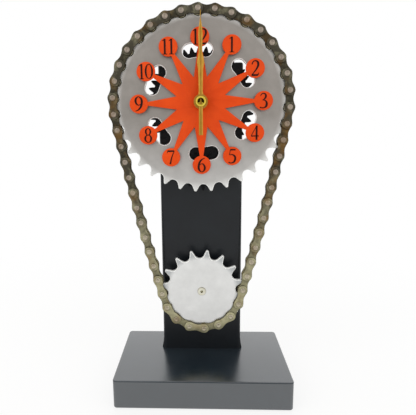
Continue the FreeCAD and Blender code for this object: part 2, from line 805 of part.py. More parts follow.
def pin_angle_on_small():
    """Angle of a chain pin on the small sprocket, counted round from the first pin."""
    lean = math.degrees(strand_lean(places.centres))
    tangent = HALF + lean
    pins_to_tangent = (tangent - sizes.first_pin_angle) / WHOLE * sizes.big_tooth_count
    pins_to_small = pins_to_tangent + strand_long(places.centres) / sizes.chain_pitch
    after = math.ceil(pins_to_small) - pins_to_small
    return tangent + after * WHOLE / sizes.small_tooth_count


def gear_outline(unit, teeth, first_angle):
    """Teeth whose flanks are arcs through three points of the true involute."""
    pitch = unit * teeth / 2
    pressure = math.radians(sizes.pressure_angle)
    base = pitch * math.cos(pressure)
    tip = pitch + unit
    root = pitch - unit * sizes.tooth_root_share
    half_tooth = math.pi / 2 / teeth - sizes.tooth_play_share * unit / pitch

    def flank_angle(radius):
        roll = math.acos(min(base / radius, 1))
        return half_tooth + (math.tan(pressure) - pressure) - (math.tan(roll) - roll)

    lowest = max(base, root)
    levels = [(root, math.degrees(flank_angle(lowest)))]
    levels += [(radius, math.degrees(flank_angle(radius))) for radius in ((lowest + tip) / 2, tip)]
    edges = []
    step = WHOLE / teeth
    for tooth in range(teeth):
        angle = first_angle + tooth * step
        rising = [polar(radius, angle - lean) for radius, lean in levels]
        falling = [polar(radius, angle + lean) for radius, lean in reversed(levels)]
        edges.append(bent(*rising))
        edges.append(straight(rising[-1], falling[0]))
        edges.append(bent(*falling))
        edges.append(straight(falling[-1], polar(root, angle + step - levels[0][1])))
    return edges


def meshed_turn(turn, teeth, heading, other_tooth_count):
    """Angle of a tooth of the other gear, so that its gap takes the first gear's tooth."""
    return heading + HALF - (turn - heading) * teeth / other_tooth_count + HALF / other_tooth_count


def toothed(label, unit, teeth, turn, start, thick, x="0", z="dial_height", bore=0):
    """A gear's rim, from its front depth backwards."""
    body = new_body(label, x, start, z)
    edges = gear_outline(unit, teeth, turn)
    if bore:
        edges.append(circle(bore))
    pad(body, sketch_on(body, "XZ_Plane", edges), thick)
    return body


def ring_places(count, radius, first_angle, z):
    """Places evenly round a circle, as formulas."""
    for number in range(count):
        angle = first_angle + number * WHOLE / count
        yield f"{radius} * cos({angle})", f"{z} + {radius} * sin({angle})"


def make_large_sprocket():
    """The large sprocket, the drive gear screwed to its back, and their bush."""
    bush_radius = places.bush_radius
    screw_places = list(ring_places(sizes.gear_screw_count, "gear_screw_ring", QUARTER, "dial_height"))
    disc = make_sprocket("large_blank", sizes.big_tooth_count, sizes.first_pin_angle, bush_radius,
                         "dial_height", sizes.big_seat_sink, sizes.slot_count)
    threads = [rod("gear_screw_radius", "disc_back - gear_screw_bite", "disc_back + overrun", x, z)
               for x, z in screw_places]
    named(cut(disc, *threads), "large_sprocket")
    gear = toothed("gear_rim", sizes.gear_module, sizes.gear_tooth_count, sizes.gear_angle, "disc_back",
                   "gear_thick", bore=bush_radius)
    hub = ring("bush_radius + gear_hub_rim", "bush_radius", "gear_back", "gear_hub_back")
    holes = [rod("gear_screw_radius + hole_play", "disc_back - overrun", "gear_back + overrun", x, z)
             for x, z in screw_places]
    named(cut(fuse(gear, hub), *holes), "drive_gear")
    screws = []
    for x, z in screw_places:
        shank = rod("gear_screw_radius", "disc_back - gear_screw_bite", "gear_back", x, z)
        head = rod("gear_screw_head", "gear_back", "gear_back + gear_screw_head_thick", x, z)
        screws.append(fuse(shank, head))
    named(group(*screws), "gear_screws")
    named(ring("bush_radius", "bush_bore", "disc_front", "flange_face - end_play"), "sprocket_bush")


def make_small_sprocket():
    """The small sprocket on its flanged bush."""
    named(make_sprocket("small_sprocket", sizes.small_tooth_count, pin_angle_on_small(),
                        places.idler_bush_radius, "idler_z"), "small_sprocket")
    barrel = rod("idler_bush_radius", "disc_front", "disc_back", "0", "idler_z")
    flange = rod("idler_bush_radius + idler_flange_rim", "disc_back", "idler_flange_back", "0", "idler_z")
    bore = rod("idler_bush_bore", "disc_front - overrun", "idler_flange_back + overrun", "0", "idler_z")
    named(cut(fuse(barrel, flange), bore), "idler_bush")


def make_axle():
    """The small sprocket's axle, riveted over in front and held by a nut behind the column."""
    head_back = "(disc_front - end_play)"
    rear = "(idler_nut_back + axle_proud)"
    barrel = rod("axle_radius", head_back, rear, "0", "idler_z")
    head = rod("axle_radius + axle_head_rim", f"{head_back} - axle_head_thick", head_back, "0", "idler_z")
    dimple = rod("axle_bore", f"{head_back} - axle_head_thick - overrun", f"{head_back} + axle_bore_deep",
                 "0", "idler_z")
    named(cut(fuse(barrel, head), dimple), "idler_axle")
    named(ring("axle_radius + spacer_rim", "axle_radius + hole_play", "idler_flange_back + end_play",
               "column_face", "0", "idler_z"), "idler_spacer")
    named(ring("axle_radius + idler_washer_rim", "axle_radius + hole_play", "column_inside",
               "idler_washer_back", "0", "idler_z"), "idler_washer")
    named(hexagon("2 * (axle_radius + idler_nut_wall)", "idler_washer_back",
                  "idler_nut_back", "axle_radius", "0", "idler_z"), "idler_nut")


make_large_sprocket()
make_small_sprocket()
make_axle()


# Centre sleeve, dial and hands

def make_centre():
    """The sleeve that the large sprocket turns on, clamped with the dial by the movement's own nut."""
    barrel = rod("sleeve_radius", "star_back", "column_face")
    flange = rod("sleeve_radius + sleeve_flange_rim", "flange_face", "column_face")
    bore = rod("sleeve_bore", "star_back - overrun", "column_face + overrun")
    named(cut(fuse(barrel, flange), bore), "centre_sleeve")
    named(ring("sleeve_radius + collar_rim", "sleeve_radius", "star_back", "disc_front - end_play"),
          "front_collar")
    named(ring("thread_radius + dial_washer_rim", "sleeve_bore", "washer_face", "star_face"),
          "dial_washer")
    named(hexagon("2 * (thread_radius + dial_nut_wall)", "nut_face", "washer_face", "thread_radius"),
          "dial_nut")


def star_outline():
    """A middle with tapering arms, each ending in a disc."""
    step = WHOLE / sizes.hour_count
    edges = []
    spread = math.degrees(math.asin(sizes.star_neck / sizes.star_disc))
    for hour in range(sizes.hour_count):
        heading = QUARTER - hour * step + sizes.star_angle
        centre = polar(places.star_ring, heading)
        valley_before = polar(sizes.star_valley, heading + step / 2)
        valley_after = polar(sizes.star_valley, heading - step / 2)
        neck_before = centre + polar(sizes.star_disc, heading + HALF - spread)
        neck_after = centre + polar(sizes.star_disc, heading + HALF + spread)
        edges.append(straight(valley_before, neck_before))
        edges.append(bent(neck_before, centre + polar(sizes.star_disc, heading), neck_after))
        edges.append(straight(neck_after, valley_after))
    return edges


def make_star():
    """The star dial, cut from one sheet."""
    star = new_body("star_dial", "0", "star_face", "dial_height")
    edges = star_outline()
    edges.append(circle(sizes.thread_radius + sizes.thread_play))
    pad(star, sketch_on(star, "XZ_Plane", edges), "star_thick")
    named(star, "star_dial")


# Strokes of each digit: bars from place to place and bows about a centre, as shares of the numeral's height
DIGIT_WIDE_SHARE = 0.62
DIGIT_STROKE_SHARES = {
    "0": [("bow", 0.3, 0.7, 0.25, 0, 180), ("bow", 0.3, 0.3, 0.25, 180, 360), ("bar", 0.05, 0.3, 0.05, 0.7),
          ("bar", 0.55, 0.3, 0.55, 0.7)],
    "1": [("bar", 0.3, 0.05, 0.3, 0.95), ("bar", 0.18, 0.05, 0.42, 0.05), ("bar", 0.16, 0.86, 0.3, 0.95)],
    "2": [("bow", 0.3, 0.7, 0.25, -40, 180), ("bar", 0.49, 0.54, 0.06, 0.05),
          ("bar", 0.06, 0.05, 0.56, 0.05)],
    "3": [("bow", 0.28, 0.73, 0.22, -90, 150), ("bow", 0.28, 0.28, 0.24, -150, 90)],
    "4": [("bar", 0.42, 0.05, 0.42, 0.95), ("bar", 0.42, 0.95, 0.03, 0.32), ("bar", 0.03, 0.32, 0.58, 0.32)],
    "5": [("bar", 0.14, 0.95, 0.52, 0.95), ("bar", 0.14, 0.95, 0.1, 0.55),
          ("bow", 0.28, 0.32, 0.27, -150, 130)],
    "6": [("bow", 0.3, 0.3, 0.25, 0, 360), ("bow", 0.62, 0.3, 0.57, 105, 180),
          ("bar", 0.47, 0.85, 0.52, 0.92)],
    "7": [("bar", 0.05, 0.95, 0.56, 0.95), ("bar", 0.56, 0.95, 0.22, 0.05)],
    "8": [("bow", 0.3, 0.71, 0.21, 0, 360), ("bow", 0.3, 0.28, 0.25, 0, 360)],
    "9": [("bow", 0.3, 0.7, 0.25, 0, 360), ("bow", -0.02, 0.7, 0.57, -75, 0),
          ("bar", 0.08, 0.08, 0.13, 0.15)],
}


def bar_face(start, end):
    """A straight stroke with round ends."""
    half = sizes.stroke_share * places.numeral_high
    along = (end - start).normalize()
    side = Vector(-along.y, along.x, 0) * half
    return Part.Face(Part.Wire([edge.toShape() for edge in (
        straight(start + side, start - side), straight(start - side, end - side),
        straight(end - side, end + side), straight(end + side, start + side))]))


def bow_face(centre, radius, first, last):
    """A round stroke, or a whole ring."""
    half = sizes.stroke_share * places.numeral_high
    outer = Part.Face(Part.Wire(circle(radius + half, centre).toShape()))
    inner = Part.Face(Part.Wire(circle(radius - half, centre).toShape()))
    whole = outer.cut(inner)
    if last - first >= WHOLE:
        return whole
    step_count = math.ceil((last - first) / (QUARTER / 2))
    step = (last - first) / step_count
    reach = 2 * (radius + half)
    fan = [centre]
    fan += [centre + polar(reach, first + number * step) for number in range(step_count + 1)]
    sector = Part.Face(Part.Wire([edge.toShape() for edge in lines_through(fan)]))
    return whole.common(sector)


def digit_solid(digit, left):
    """One digit as a thin layer, its lower left corner at the place given."""
    high = places.numeral_high
    faces = []
    for kind, *shares in DIGIT_STROKE_SHARES[digit]:
        if kind == "bar":
            start_x, start_z, end_x, end_z = (share * high for share in shares)
            faces.append(bar_face(left + Vector(start_x, start_z, 0), left + Vector(end_x, end_z, 0)))
        else:
            across, up, radius = (share * high for share in shares[:3])
            faces.append(bow_face(left + Vector(across, up, 0), radius, shares[3], shares[4]))
    solids = [face.extrude(UP * sizes.numeral_thick) for face in faces]
    joined = solids[0].multiFuse(solids[1:]) if len(solids) > 1 else solids[0]
    return joined.removeSplitter()


def make_numerals():
    """The numbers 1 to 12, upright on their discs."""
    step = WHOLE / sizes.hour_count
    solids = []
    for hour in range(1, sizes.hour_count + 1):
        middle = polar(places.star_ring, QUARTER - hour * step + sizes.star_angle)
        digits = str(hour)
        wide = DIGIT_WIDE_SHARE * places.numeral_high
        left = middle - Vector(len(digits) * wide / 2, places.numeral_high / 2, 0)
        for number, digit in enumerate(digits):
            solids.extend(digit_solid(digit, left + Vector(number * wide, 0, 0)).Solids)
    numerals = doc.addObject("Part::Feature", "numerals")
    numerals.Shape = Part.makeCompound(solids)
    numerals.Placement = Placement(Vector(0, places.star_face, places.dial_height), STOOD_UP)
    named(numerals, "dial_numerals")


def blade_outline(hub, narrow, broad_at, broad, long, tail=0, tail_half=0):
    """A hand seen from the front: narrow at the hub, widest at its own place, and pointed."""
    left = [Vector(-narrow, 0, 0), Vector(-narrow, hub, 0), Vector(-broad, broad_at, 0)]
    right = [Vector(broad, broad_at, 0), Vector(narrow, hub, 0), Vector(narrow, 0, 0)]
    points = left + [Vector(0, long, 0)] + right
    if tail:
        points += [Vector(tail_half, 0, 0), Vector(tail_half, -tail, 0)]
        points += [Vector(-tail_half, -tail, 0), Vector(-tail_half, 0, 0)]
    return lines_through(points)


def make_hand(label, back, hub, tube, outline):
    """A hand: a thin blade let into a round hub that is pressed on its tube."""
    blade = new_body(f"{label}_blade", "0", f"{back} - (hub_thick + blade_thick) / 2", "dial_height")
    pad(blade, sketch_on(blade, "XZ_Plane", outline), "blade_thick")
    boss = rod(hub, f"{back} - hub_thick", back)
    bore = rod(tube, f"{back} - hub_thick - overrun", f"{back} + overrun")
    named(cut(fuse(blade, boss), bore), label)


def make_hands():
    """Hour, minute and second hand, standing at twelve."""
    make_hand("hour_hand", "hour_back", "hour_hub", "hour_tube",
              blade_outline(sizes.hour_hub, sizes.hour_narrow, sizes.hour_broad_at, sizes.hour_broad,
                            sizes.hour_long))
    make_hand("minute_hand", "minute_back", "minute_hub", "minute_tube",
              blade_outline(sizes.minute_hub, sizes.minute_narrow, sizes.minute_broad_at, sizes.minute_broad,
                            sizes.minute_long))
    needle = new_body("second_blade", "0", "second_back - blade_thick", "dial_height")
    half = sizes.second_half_wide
    tail = sizes.tail_half_wide
    points = [Vector(-half, 0, 0), Vector(-half, sizes.second_long, 0), Vector(half, sizes.second_long, 0),
              Vector(half, 0, 0), Vector(tail, 0, 0), Vector(tail, -sizes.second_tail, 0),
              Vector(-tail, -sizes.second_tail, 0), Vector(-tail, 0, 0)]
    pad(needle, sketch_on(needle, "XZ_Plane", lines_through(points)), "blade_thick")
    cup = rod("cup_radius", "second_face", "second_back")
    hollow = rod("cup_bore", "second_face - overrun", "second_back - cup_floor")
    bore = rod("second_shaft", "second_face - overrun", "second_back + overrun")
    named(cut(fuse(needle, cup), hollow, bore), "second_hand")


make_centre()
make_star()
make_numerals()
make_hands()


# Chain: pins one pitch apart round both sprockets, plates between pins

def bowed(start, end, share):
    """A place along a strand, which bows outward between the sprockets under the chain's weight."""
    outward = (end - start).cross(UP)
    outward.normalize()
    return start + (end - start) * share + outward * sizes.chain_bow * math.sin(math.pi * share)


def pin_place(count):
    """Where a pin stands, counted in pitches from the first pin, anticlockwise seen from the front."""
    big = pitch_radius(sizes.big_tooth_count)
    small = pitch_radius(sizes.small_tooth_count)
    lean = math.degrees(strand_lean(places.centres))
    strand = strand_long(places.centres) / sizes.chain_pitch
    left_tangent = HALF + lean
    low_centre = Vector(0, -places.centres, 0)
    big_after = (left_tangent - sizes.first_pin_angle) / WHOLE * sizes.big_tooth_count
    small_wrap = (HALF - 2 * lean) / WHOLE * sizes.small_tooth_count
    count = count % sizes.chain_link_count
    if count <= big_after:
        return polar(big, sizes.first_pin_angle + count * WHOLE / sizes.big_tooth_count)
    count -= big_after
    if count <= strand:
        return bowed(polar(big, left_tangent), low_centre + polar(small, left_tangent), count / strand)
    count -= strand
    if count <= small_wrap:
        return low_centre + polar(small, left_tangent + count * WHOLE / sizes.small_tooth_count)
    count -= small_wrap
    if count <= strand:
        return bowed(low_centre + polar(small, -lean), polar(big, -lean), count / strand)
    count -= strand
    return polar(big, -lean + count * WHOLE / sizes.big_tooth_count)


def plate_solid(bore):
    """One chain plate along X from its first hole, waisted by two arcs that touch the round ends."""
    far = Vector(sizes.chain_pitch, 0, 0)
    half = sizes.chain_pitch / 2
    end = sizes.plate_end
    waist = sizes.plate_waist
    hollow = (half * half + waist * waist - end * end) / (2 * (end - waist))
    waist_centre = Vector(half, waist + hollow, 0)
    left_top = waist_centre * (end / (end + hollow))
    left_low = Vector(left_top.x, -left_top.y, 0)
    right_top = far - left_low
    right_low = far - left_top
    rim = Part.Wire([edge.toShape() for edge in (
        bent(left_top, Vector(-end, 0, 0), left_low),
        bent(left_low, Vector(half, -waist, 0), right_low),
        bent(right_low, far + Vector(end, 0, 0), right_top),
        bent(right_top, Vector(half, waist, 0), left_top))])
    holes = [Part.Wire(circle(bore, centre).toShape()) for centre in (Vector(), far)]
    face = Part.Face(rim).cut(Part.makeCompound([Part.Face(hole) for hole in holes]))
    return face.Faces[0].extrude(UP * sizes.plate_thick)


def chain_node(label, solids):
    """One kind of chain piece, all round the loop, stood up in the chain's plane."""
    node = doc.addObject("Part::Feature", label)
    node.Shape = Part.makeCompound(solids)
    node.Placement = Placement(Vector(0, places.chain_plane, places.dial_height), STOOD_UP)
    named(node, label)


def barrel(radius, bore, long, place):
    """A pin, bushing or roller across the chain's plane."""
    low = place - UP * long / 2
    solid = Part.makeCylinder(radius, long, low)
    return solid.cut(Part.makeCylinder(bore, long, low)) if bore else solid


def plates_on(start, end, bore, inner_face):
    """The front and the back plate between two pins."""
    along = end - start
    turn = math.degrees(math.atan2(along.y, along.x))
    solids = []
    for low in (inner_face, -inner_face - sizes.plate_thick):
        plate = plate_solid(bore)
        plate.Placement = Placement(start + UP * low, Rotation(UP, turn))
        solids.append(plate)
    return solids


def make_chain():
    """Outer and inner links in turn. The plates' bores take up the few hundredths between chord and arc."""
    outer_plates = []
    inner_plates = []
    pins = []
    bushings = []
    rollers = []
    inner_width = places.inner_wide + 2 * sizes.plate_thick
    for link in range(sizes.chain_link_count):
        start = pin_place(link)
        end = pin_place(link + 1)
        if link % 2:
            bore = sizes.bushing_radius + sizes.plate_play
            inner_plates += plates_on(start, end, bore, places.inner_wide / 2)
        else:
            bore = sizes.pin_radius + sizes.plate_play
            outer_plates += plates_on(start, end, bore, places.outer_wide / 2)
        rivet = barrel(sizes.pin_radius, 0, places.pin_long, start)
        for side in (-1, 1):
            middle = start + UP * side * (places.pin_long - sizes.pin_head_thick) / 2
            rivet = rivet.fuse(barrel(places.pin_head, 0, sizes.pin_head_thick, middle))
        pins.append(rivet.removeSplitter())
        bore = sizes.pin_radius + sizes.chain_play
        bushings.append(barrel(sizes.bushing_radius, bore, inner_width, start))
        rollers.append(barrel(sizes.roller_radius, sizes.bushing_radius + sizes.chain_play,
                              places.inner_wide - 2 * sizes.roller_end_play, start))
    chain_node("chain_outer_plates", outer_plates)
    chain_node("chain_inner_plates", inner_plates)
    chain_node("chain_pins", pins)
    chain_node("chain_bushings", bushings)
    chain_node("chain_rollers", rollers)


make_chain()


# Quartz movement behind the column

def rounded_box(label, front, thick):
    """A square box of the movement's size with round corners, from its front depth backwards."""
    body = new_body(label, "0", front, "dial_height")
    outline = rounded_rectangle(places.case_wide, places.case_wide, sizes.case_corner)
    pad(body, sketch_on(body, "XZ_Plane", outline), thick)
    return body


def make_case():
    """The movement's cover with its threaded bush, its case with an open cell bay, and the rubber washer."""
    cover = rounded_box("cover_plate", "case_front", "cover_thick")
    bush = rod("thread_radius", "thread_end", "case_inside")
    bush_hole = rod("hour_tube + arbor_play", "thread_end - overrun", "case_inside + overrun")
    named(cut(fuse(cover, bush), bush_hole), "movement_cover")
    case = rounded_box("case_blank", "case_inside", "case_deep - cover_thick")
    low = "dial_height - case_half"
    high = "dial_height + case_half"
    front = "case_inside - overrun"
    back = "case_back + overrun"
    room = block("-case_half", "case_half", front, "case_rear_wall", "bay_top + case_wall", high)
    bay = block("-case_half", "case_half", front, back, low, "bay_top")
    stem_hole = rod("knob_stem + arbor_play", "case_rear_wall - overrun", back, "knob_x", "knob_z")
    named(cut(case, room, bay, stem_hole), "movement_case")
    named(ring("gasket_radius", "sleeve_bore", "column_inside", "case_front"), "movement_gasket")


def make_cell():
    """The movement's cell in its bay, between two contacts with a stud each."""
    left = "(-(cell_long + cell_cap_long) / 2)"
    right = "((cell_long + cell_cap_long) / 2)"
    depth = "(case_inside + cell_play + cell_radius)"
    height = "(dial_height - cell_drop)"
    can = beam("cell_radius", left, f"{left} + cell_long", depth, height)
    cap = beam("cell_cap_radius", f"{left} + cell_long", right, depth, height)
    named(fuse(can, cap), "movement_cell")
    front = f"{depth} - contact_wide / 2"
    back = f"{depth} + contact_wide / 2"
    low = f"{height} - contact_wide / 2"
    high = f"{height} + contact_wide / 2"
    left_plate = block("-case_half", "contact_thick - case_half", front, back, low, high)
    right_plate = block("case_half - contact_thick", "case_half", front, back, low, high)
    left_stud = beam("contact_stud", "contact_thick - case_half", left, depth, height)
    right_stud = beam("contact_stud", right, "case_half - contact_thick", depth, height)
    named(group(fuse(left_plate, left_stud), fuse(right_plate, right_stud)), "cell_contacts")


def unit_for(distance, tooth_count, other_tooth_count):
    """The module that makes two gears meet at this centre distance."""
    return 2 * distance / (tooth_count + other_tooth_count)


MOTION_UNIT = unit_for(sizes.motion_distance, sizes.minute_pinion_tooth_count, sizes.motion_tooth_count)
HOUR_UNIT = unit_for(sizes.motion_distance, sizes.motion_pinion_tooth_count, sizes.hour_tooth_count)
THIRD_UNIT = unit_for(sizes.third_distance, sizes.second_pinion_tooth_count, sizes.third_tooth_count)
CENTRE_UNIT = unit_for(sizes.third_distance, sizes.third_pinion_tooth_count, sizes.centre_tooth_count)
SECOND_UNIT = unit_for(sizes.step_distance, sizes.step_pinion_tooth_count, sizes.second_tooth_count)
STEP_UNIT = unit_for(sizes.rotor_distance, sizes.rotor_tooth_count, sizes.step_tooth_count)


def central_turn(angle, tooth_count, central_tooth_count):
    """Turn of a gear on the dial's axis, meshed with a gear whose tooth points away from that axis."""
    return meshed_turn(angle, tooth_count, angle + HALF, central_tooth_count)


def make_hand_tubes():
    """The hour wheel, the minute arbor and the second arbor, one inside the other."""
    hour_turn = central_turn(sizes.motion_angle, sizes.motion_pinion_tooth_count, sizes.hour_tooth_count)
    hour_rim = toothed("hour_rim", HOUR_UNIT, sizes.hour_tooth_count, hour_turn,
                       "layer_first", "wheel_thick")
    hour_front = "hour_face - tube_proud"
    hour_end = "layer_first + wheel_thick"
    hour_tube = rod("hour_tube", hour_front, hour_end)
    hour_hole = rod("minute_tube + arbor_play", f"{hour_front} - overrun", f"{hour_end} + overrun")
    named(cut(fuse(hour_rim, hour_tube), hour_hole), "hour_wheel")

    minute_turn = central_turn(sizes.motion_angle, sizes.motion_tooth_count, sizes.minute_pinion_tooth_count)
    minute_rim = toothed("minute_rim", MOTION_UNIT, sizes.minute_pinion_tooth_count, minute_turn,
                         "layer_second", "wheel_thick")
    minute_front = "minute_face - tube_proud"
    minute_end = "layer_third + wheel_thick + end_play"
    minute_tube = rod("minute_tube", minute_front, minute_end)
    minute_hole = rod("second_shaft + arbor_play", f"{minute_front} - overrun", f"{minute_end} + overrun")
    named(cut(fuse(minute_rim, minute_tube), minute_hole), "minute_arbor")

    pinion_turn = central_turn(sizes.third_angle, sizes.third_tooth_count, sizes.second_pinion_tooth_count)
    second_pinion = toothed("second_pinion", THIRD_UNIT, sizes.second_pinion_tooth_count, pinion_turn,
                            "layer_fourth", "layer_step")
    second_turn = central_turn(sizes.step_angle, sizes.step_pinion_tooth_count, sizes.second_tooth_count)
    second_rim = toothed("second_rim", SECOND_UNIT, sizes.second_tooth_count, second_turn,
                         "layer_fifth", "wheel_thick")
    shaft = rod("second_shaft", "second_back - cup_floor - tube_proud", "layer_fifth + wheel_thick")
    named(fuse(second_pinion, second_rim, shaft), "second_arbor")

    centre_turn = central_turn(sizes.third_angle, sizes.third_pinion_tooth_count, sizes.centre_tooth_count)
    named(toothed("centre_wheel", CENTRE_UNIT, sizes.centre_tooth_count, centre_turn,
                  "layer_third", "wheel_thick", bore=sizes.minute_tube + sizes.arbor_play), "centre_wheel")


def compound_wheel(label, x, z, turn, front_gear, rear_gear, arbor_front, arbor_back):
    """Two gears on one arbor. Each gear is its module, its tooth count and its front depth."""
    gears = [toothed(f"{label}_gear", unit, tooth_count, turn, front, "wheel_thick", x, z)
             for unit, tooth_count, front in (front_gear, rear_gear)]
    arbor = rod("arbor_radius", arbor_front, arbor_back, x, z)
    named(fuse(*gears, arbor), label)


def make_train():
    """The wheels that carry the motion from the rotor to the hands, each meshed with the next."""
    compound_wheel("motion_wheel", "motion_x", "motion_z", sizes.motion_angle,
                   (HOUR_UNIT, sizes.motion_pinion_tooth_count, "layer_first"),
                   (MOTION_UNIT, sizes.motion_tooth_count, "layer_second"),
                   "case_inside", "layer_second + wheel_thick + end_play")
    compound_wheel("third_wheel", "third_x", "third_z", sizes.third_angle,
                   (CENTRE_UNIT, sizes.third_pinion_tooth_count, "layer_third"),
                   (THIRD_UNIT, sizes.third_tooth_count, "layer_fourth"),
                   "case_inside", "case_rear_wall")
    compound_wheel("step_wheel", "step_x", "step_z", sizes.step_angle,
                   (SECOND_UNIT, sizes.step_pinion_tooth_count, "layer_fifth"),
                   (STEP_UNIT, sizes.step_tooth_count, "layer_sixth"),
                   "layer_fifth - end_play", "case_rear_wall")

    rotor_turn = meshed_turn(sizes.step_angle, sizes.step_tooth_count, sizes.rotor_angle,
                             sizes.rotor_tooth_count)
    rotor_pinion = toothed("rotor_pinion", STEP_UNIT, sizes.rotor_tooth_count, rotor_turn,
                           "layer_sixth", "wheel_thick", "rotor_x", "rotor_z")
    magnet = rod("rotor_radius", "magnet_back - rotor_thick", "magnet_back", "rotor_x", "rotor_z")
    arbor = rod("arbor_radius", "case_inside", "case_rear_wall", "rotor_x", "rotor_z")
    named(fuse(rotor_pinion, magnet, arbor), "rotor")

    knob_turn = meshed_turn(sizes.motion_angle, sizes.motion_tooth_count, sizes.knob_angle,
                            sizes.knob_pinion_tooth_count)
    knob_pinion = toothed("knob_pinion", MOTION_UNIT, sizes.knob_pinion_tooth_count, knob_turn,
                          "layer_second", "wheel_thick", "knob_x", "knob_z")
    knob_front = "case_back + end_play"
    stem = rod("knob_stem", "layer_second", knob_front, "knob_x", "knob_z")
    cap = rod("knob_radius", knob_front, f"{knob_front} + knob_thick", "knob_x", "knob_z")
    named(fuse(knob_pinion, stem, cap), "setting_knob")


def make_stator():
    """The stator's sheet: a yoke round the rotor, cut clear of the step pinion, with an arm at each end."""
    front = "coil_y - stator_thick / 2"
    back = "coil_y + stator_thick / 2"
    before = f"{front} - overrun"
    behind = f"{back} + overrun"
    reach = "(coil_long / 2 + bobbin_cheek)"
    low = "rotor_z - stator_half_high"
    high = "rotor_z + stator_half_high"
    yoke = block(f"rotor_x - {reach}", f"rotor_x + {reach}", front, back, low, high)
    arms = []
    for side in "-+":
        left = f"rotor_x {side} {reach} - stator_arm_half_wide"
        right = f"rotor_x {side} {reach} + stator_arm_half_wide"
        arms.append(block(left, right, front, back, low, "coil_z + bobbin_core"))
    rotor_hole = rod("rotor_radius + stator_gap", before, behind, "rotor_x", "rotor_z")
    step_hole = rod("step_tip + end_play", before, behind, "step_x", "step_z")
    named(cut(fuse(yoke, *arms), rotor_hole, step_hole), "stator")


def make_coil():
    """The copper winding on a bobbin that sits between the stator's arms."""
    half = "(coil_long / 2 + bobbin_cheek - stator_arm_half_wide)"
    left = f"rotor_x - {half}"
    right = f"rotor_x + {half}"
    core = beam("bobbin_core", left, right, "coil_y", "coil_z")
    left_cheek = beam("bobbin_radius", left, f"{left} + bobbin_cheek", "coil_y", "coil_z")
    right_cheek = beam("bobbin_radius", f"{right} - bobbin_cheek", right, "coil_y", "coil_z")
    named(fuse(core, left_cheek, right_cheek), "coil_bobbin")
    turns = beam("coil_radius", f"{left} + bobbin_cheek", f"{right} - bobbin_cheek", "coil_y", "coil_z")
    hollow = beam("bobbin_core", left, right, "coil_y", "coil_z")
    named(cut(turns, hollow), "coil_winding")


def make_board():
    """The circuit board on the case's rear wall, with the quartz crystal soldered on."""
    face = "case_rear_wall - board_thick"
    middle = "dial_height + board_high / 2"
    board = block("case_half - board_wide", "case_half", face, "case_rear_wall", "dial_height",
                  "dial_height + board_high")
    crystal = post("crystal_radius", middle, f"{middle} + crystal_long", "case_half - board_wide / 2",
                   f"{face} - crystal_radius")
    named(group(board, crystal), "circuit_board")


make_case()
make_cell()
make_hand_tubes()
make_train()
make_stator()
make_coil()
make_board()


# Gear motor, its cells and switch

def can_slice(label, start, end):
    """A round can with two flats, between two depths."""
    can = doc.addObject("Part::MultiCommon", label)
    box = block("-motor_wide / 2", "motor_wide / 2", start, end, "pinion_z - motor_high / 2",
                "pinion_z + motor_high / 2")
    can.Shapes = [rod("motor_wide / 2", start, end, "0", "pinion_z"), box]
    named(can, label)


def flatted_shaft(front, back):
    """The output shaft's round with its flat on top."""
    flat = block("-shaft_radius", "shaft_radius", f"{front} - overrun", "column_face", "flat_z",
                 "pinion_z + shaft_radius + overrun")
    return cut(rod("shaft_radius", front, back, "0", "pinion_z"), flat)


def make_motor():
    """A small gear motor clamped behind the column, with the pinion on its flatted shaft."""
    gearbox = block("-motor_wide / 2", "motor_wide / 2", "column_inside", "gearbox_back",
                    "pinion_z - motor_high / 2", "pinion_z + motor_high / 2")
    seat_end = "gearbox_back - shaft_bite"
    seat = rod("shaft_radius + run_play", "column_inside - overrun", seat_end, "0", "pinion_z")
    named(cut(gearbox, seat), "motor_gearbox")
    can_slice("motor_can", "gearbox_back", "can_back")
    can_slice("motor_end_cap", "can_back", "can_back + cap_long")
    named(flatted_shaft("pinion_face", f"{seat_end} - end_play"), "output_shaft")
    turn = meshed_turn(sizes.gear_angle, sizes.gear_tooth_count, -QUARTER, sizes.pinion_tooth_count)
    rim = toothed("pinion_rim", sizes.gear_module, sizes.pinion_tooth_count, turn, "pinion_face",
                  "gear_thick", "0", "pinion_z")
    hub = rod("shaft_radius + pinion_hub_wall", "pinion_face", "column_face - end_play", "0", "pinion_z")
    named(cut(fuse(rim, hub), flatted_shaft("pinion_face - overrun", "column_face")), "motor_pinion")


def make_clamp():
    """A moulded clamp over the gearbox, with two screws into the column's face sheet."""
    low = "pinion_z - motor_high / 2"
    high = "pinion_z + motor_high / 2"
    outer = "(motor_wide / 2 + clamp_wall)"
    end = "column_inside + clamp_long"
    frame = block(f"-{outer}", outer, "column_inside", end, f"{low} - clamp_wall", f"{high} + clamp_wall")
    ears = block(f"-{outer} - clamp_ear", f"{outer} + clamp_ear", "column_inside", "clamp_face",
                 f"{low} - clamp_wall", f"{high} + clamp_wall")
    window = block("-motor_wide / 2", "motor_wide / 2", "column_inside - overrun", f"{end} + overrun",
                   low, high)
    holes = []
    screws = []
    for side in (-1, 1):
        x = f"{side} * clamp_screw_x"
        holes.append(rod("clamp_screw_radius + hole_play", "column_inside - overrun", "clamp_face + overrun",
                         x, "pinion_z"))
        shank = rod("clamp_screw_radius", "column_face", "clamp_face", x, "pinion_z")
        head = rod("clamp_screw_head", "clamp_face", "clamp_face + clamp_screw_head_thick", x, "pinion_z")
        screws.append(fuse(shank, head))
    named(cut(fuse(frame, ears), window, *holes), "motor_clamp")
    named(group(*screws), "clamp_screws")


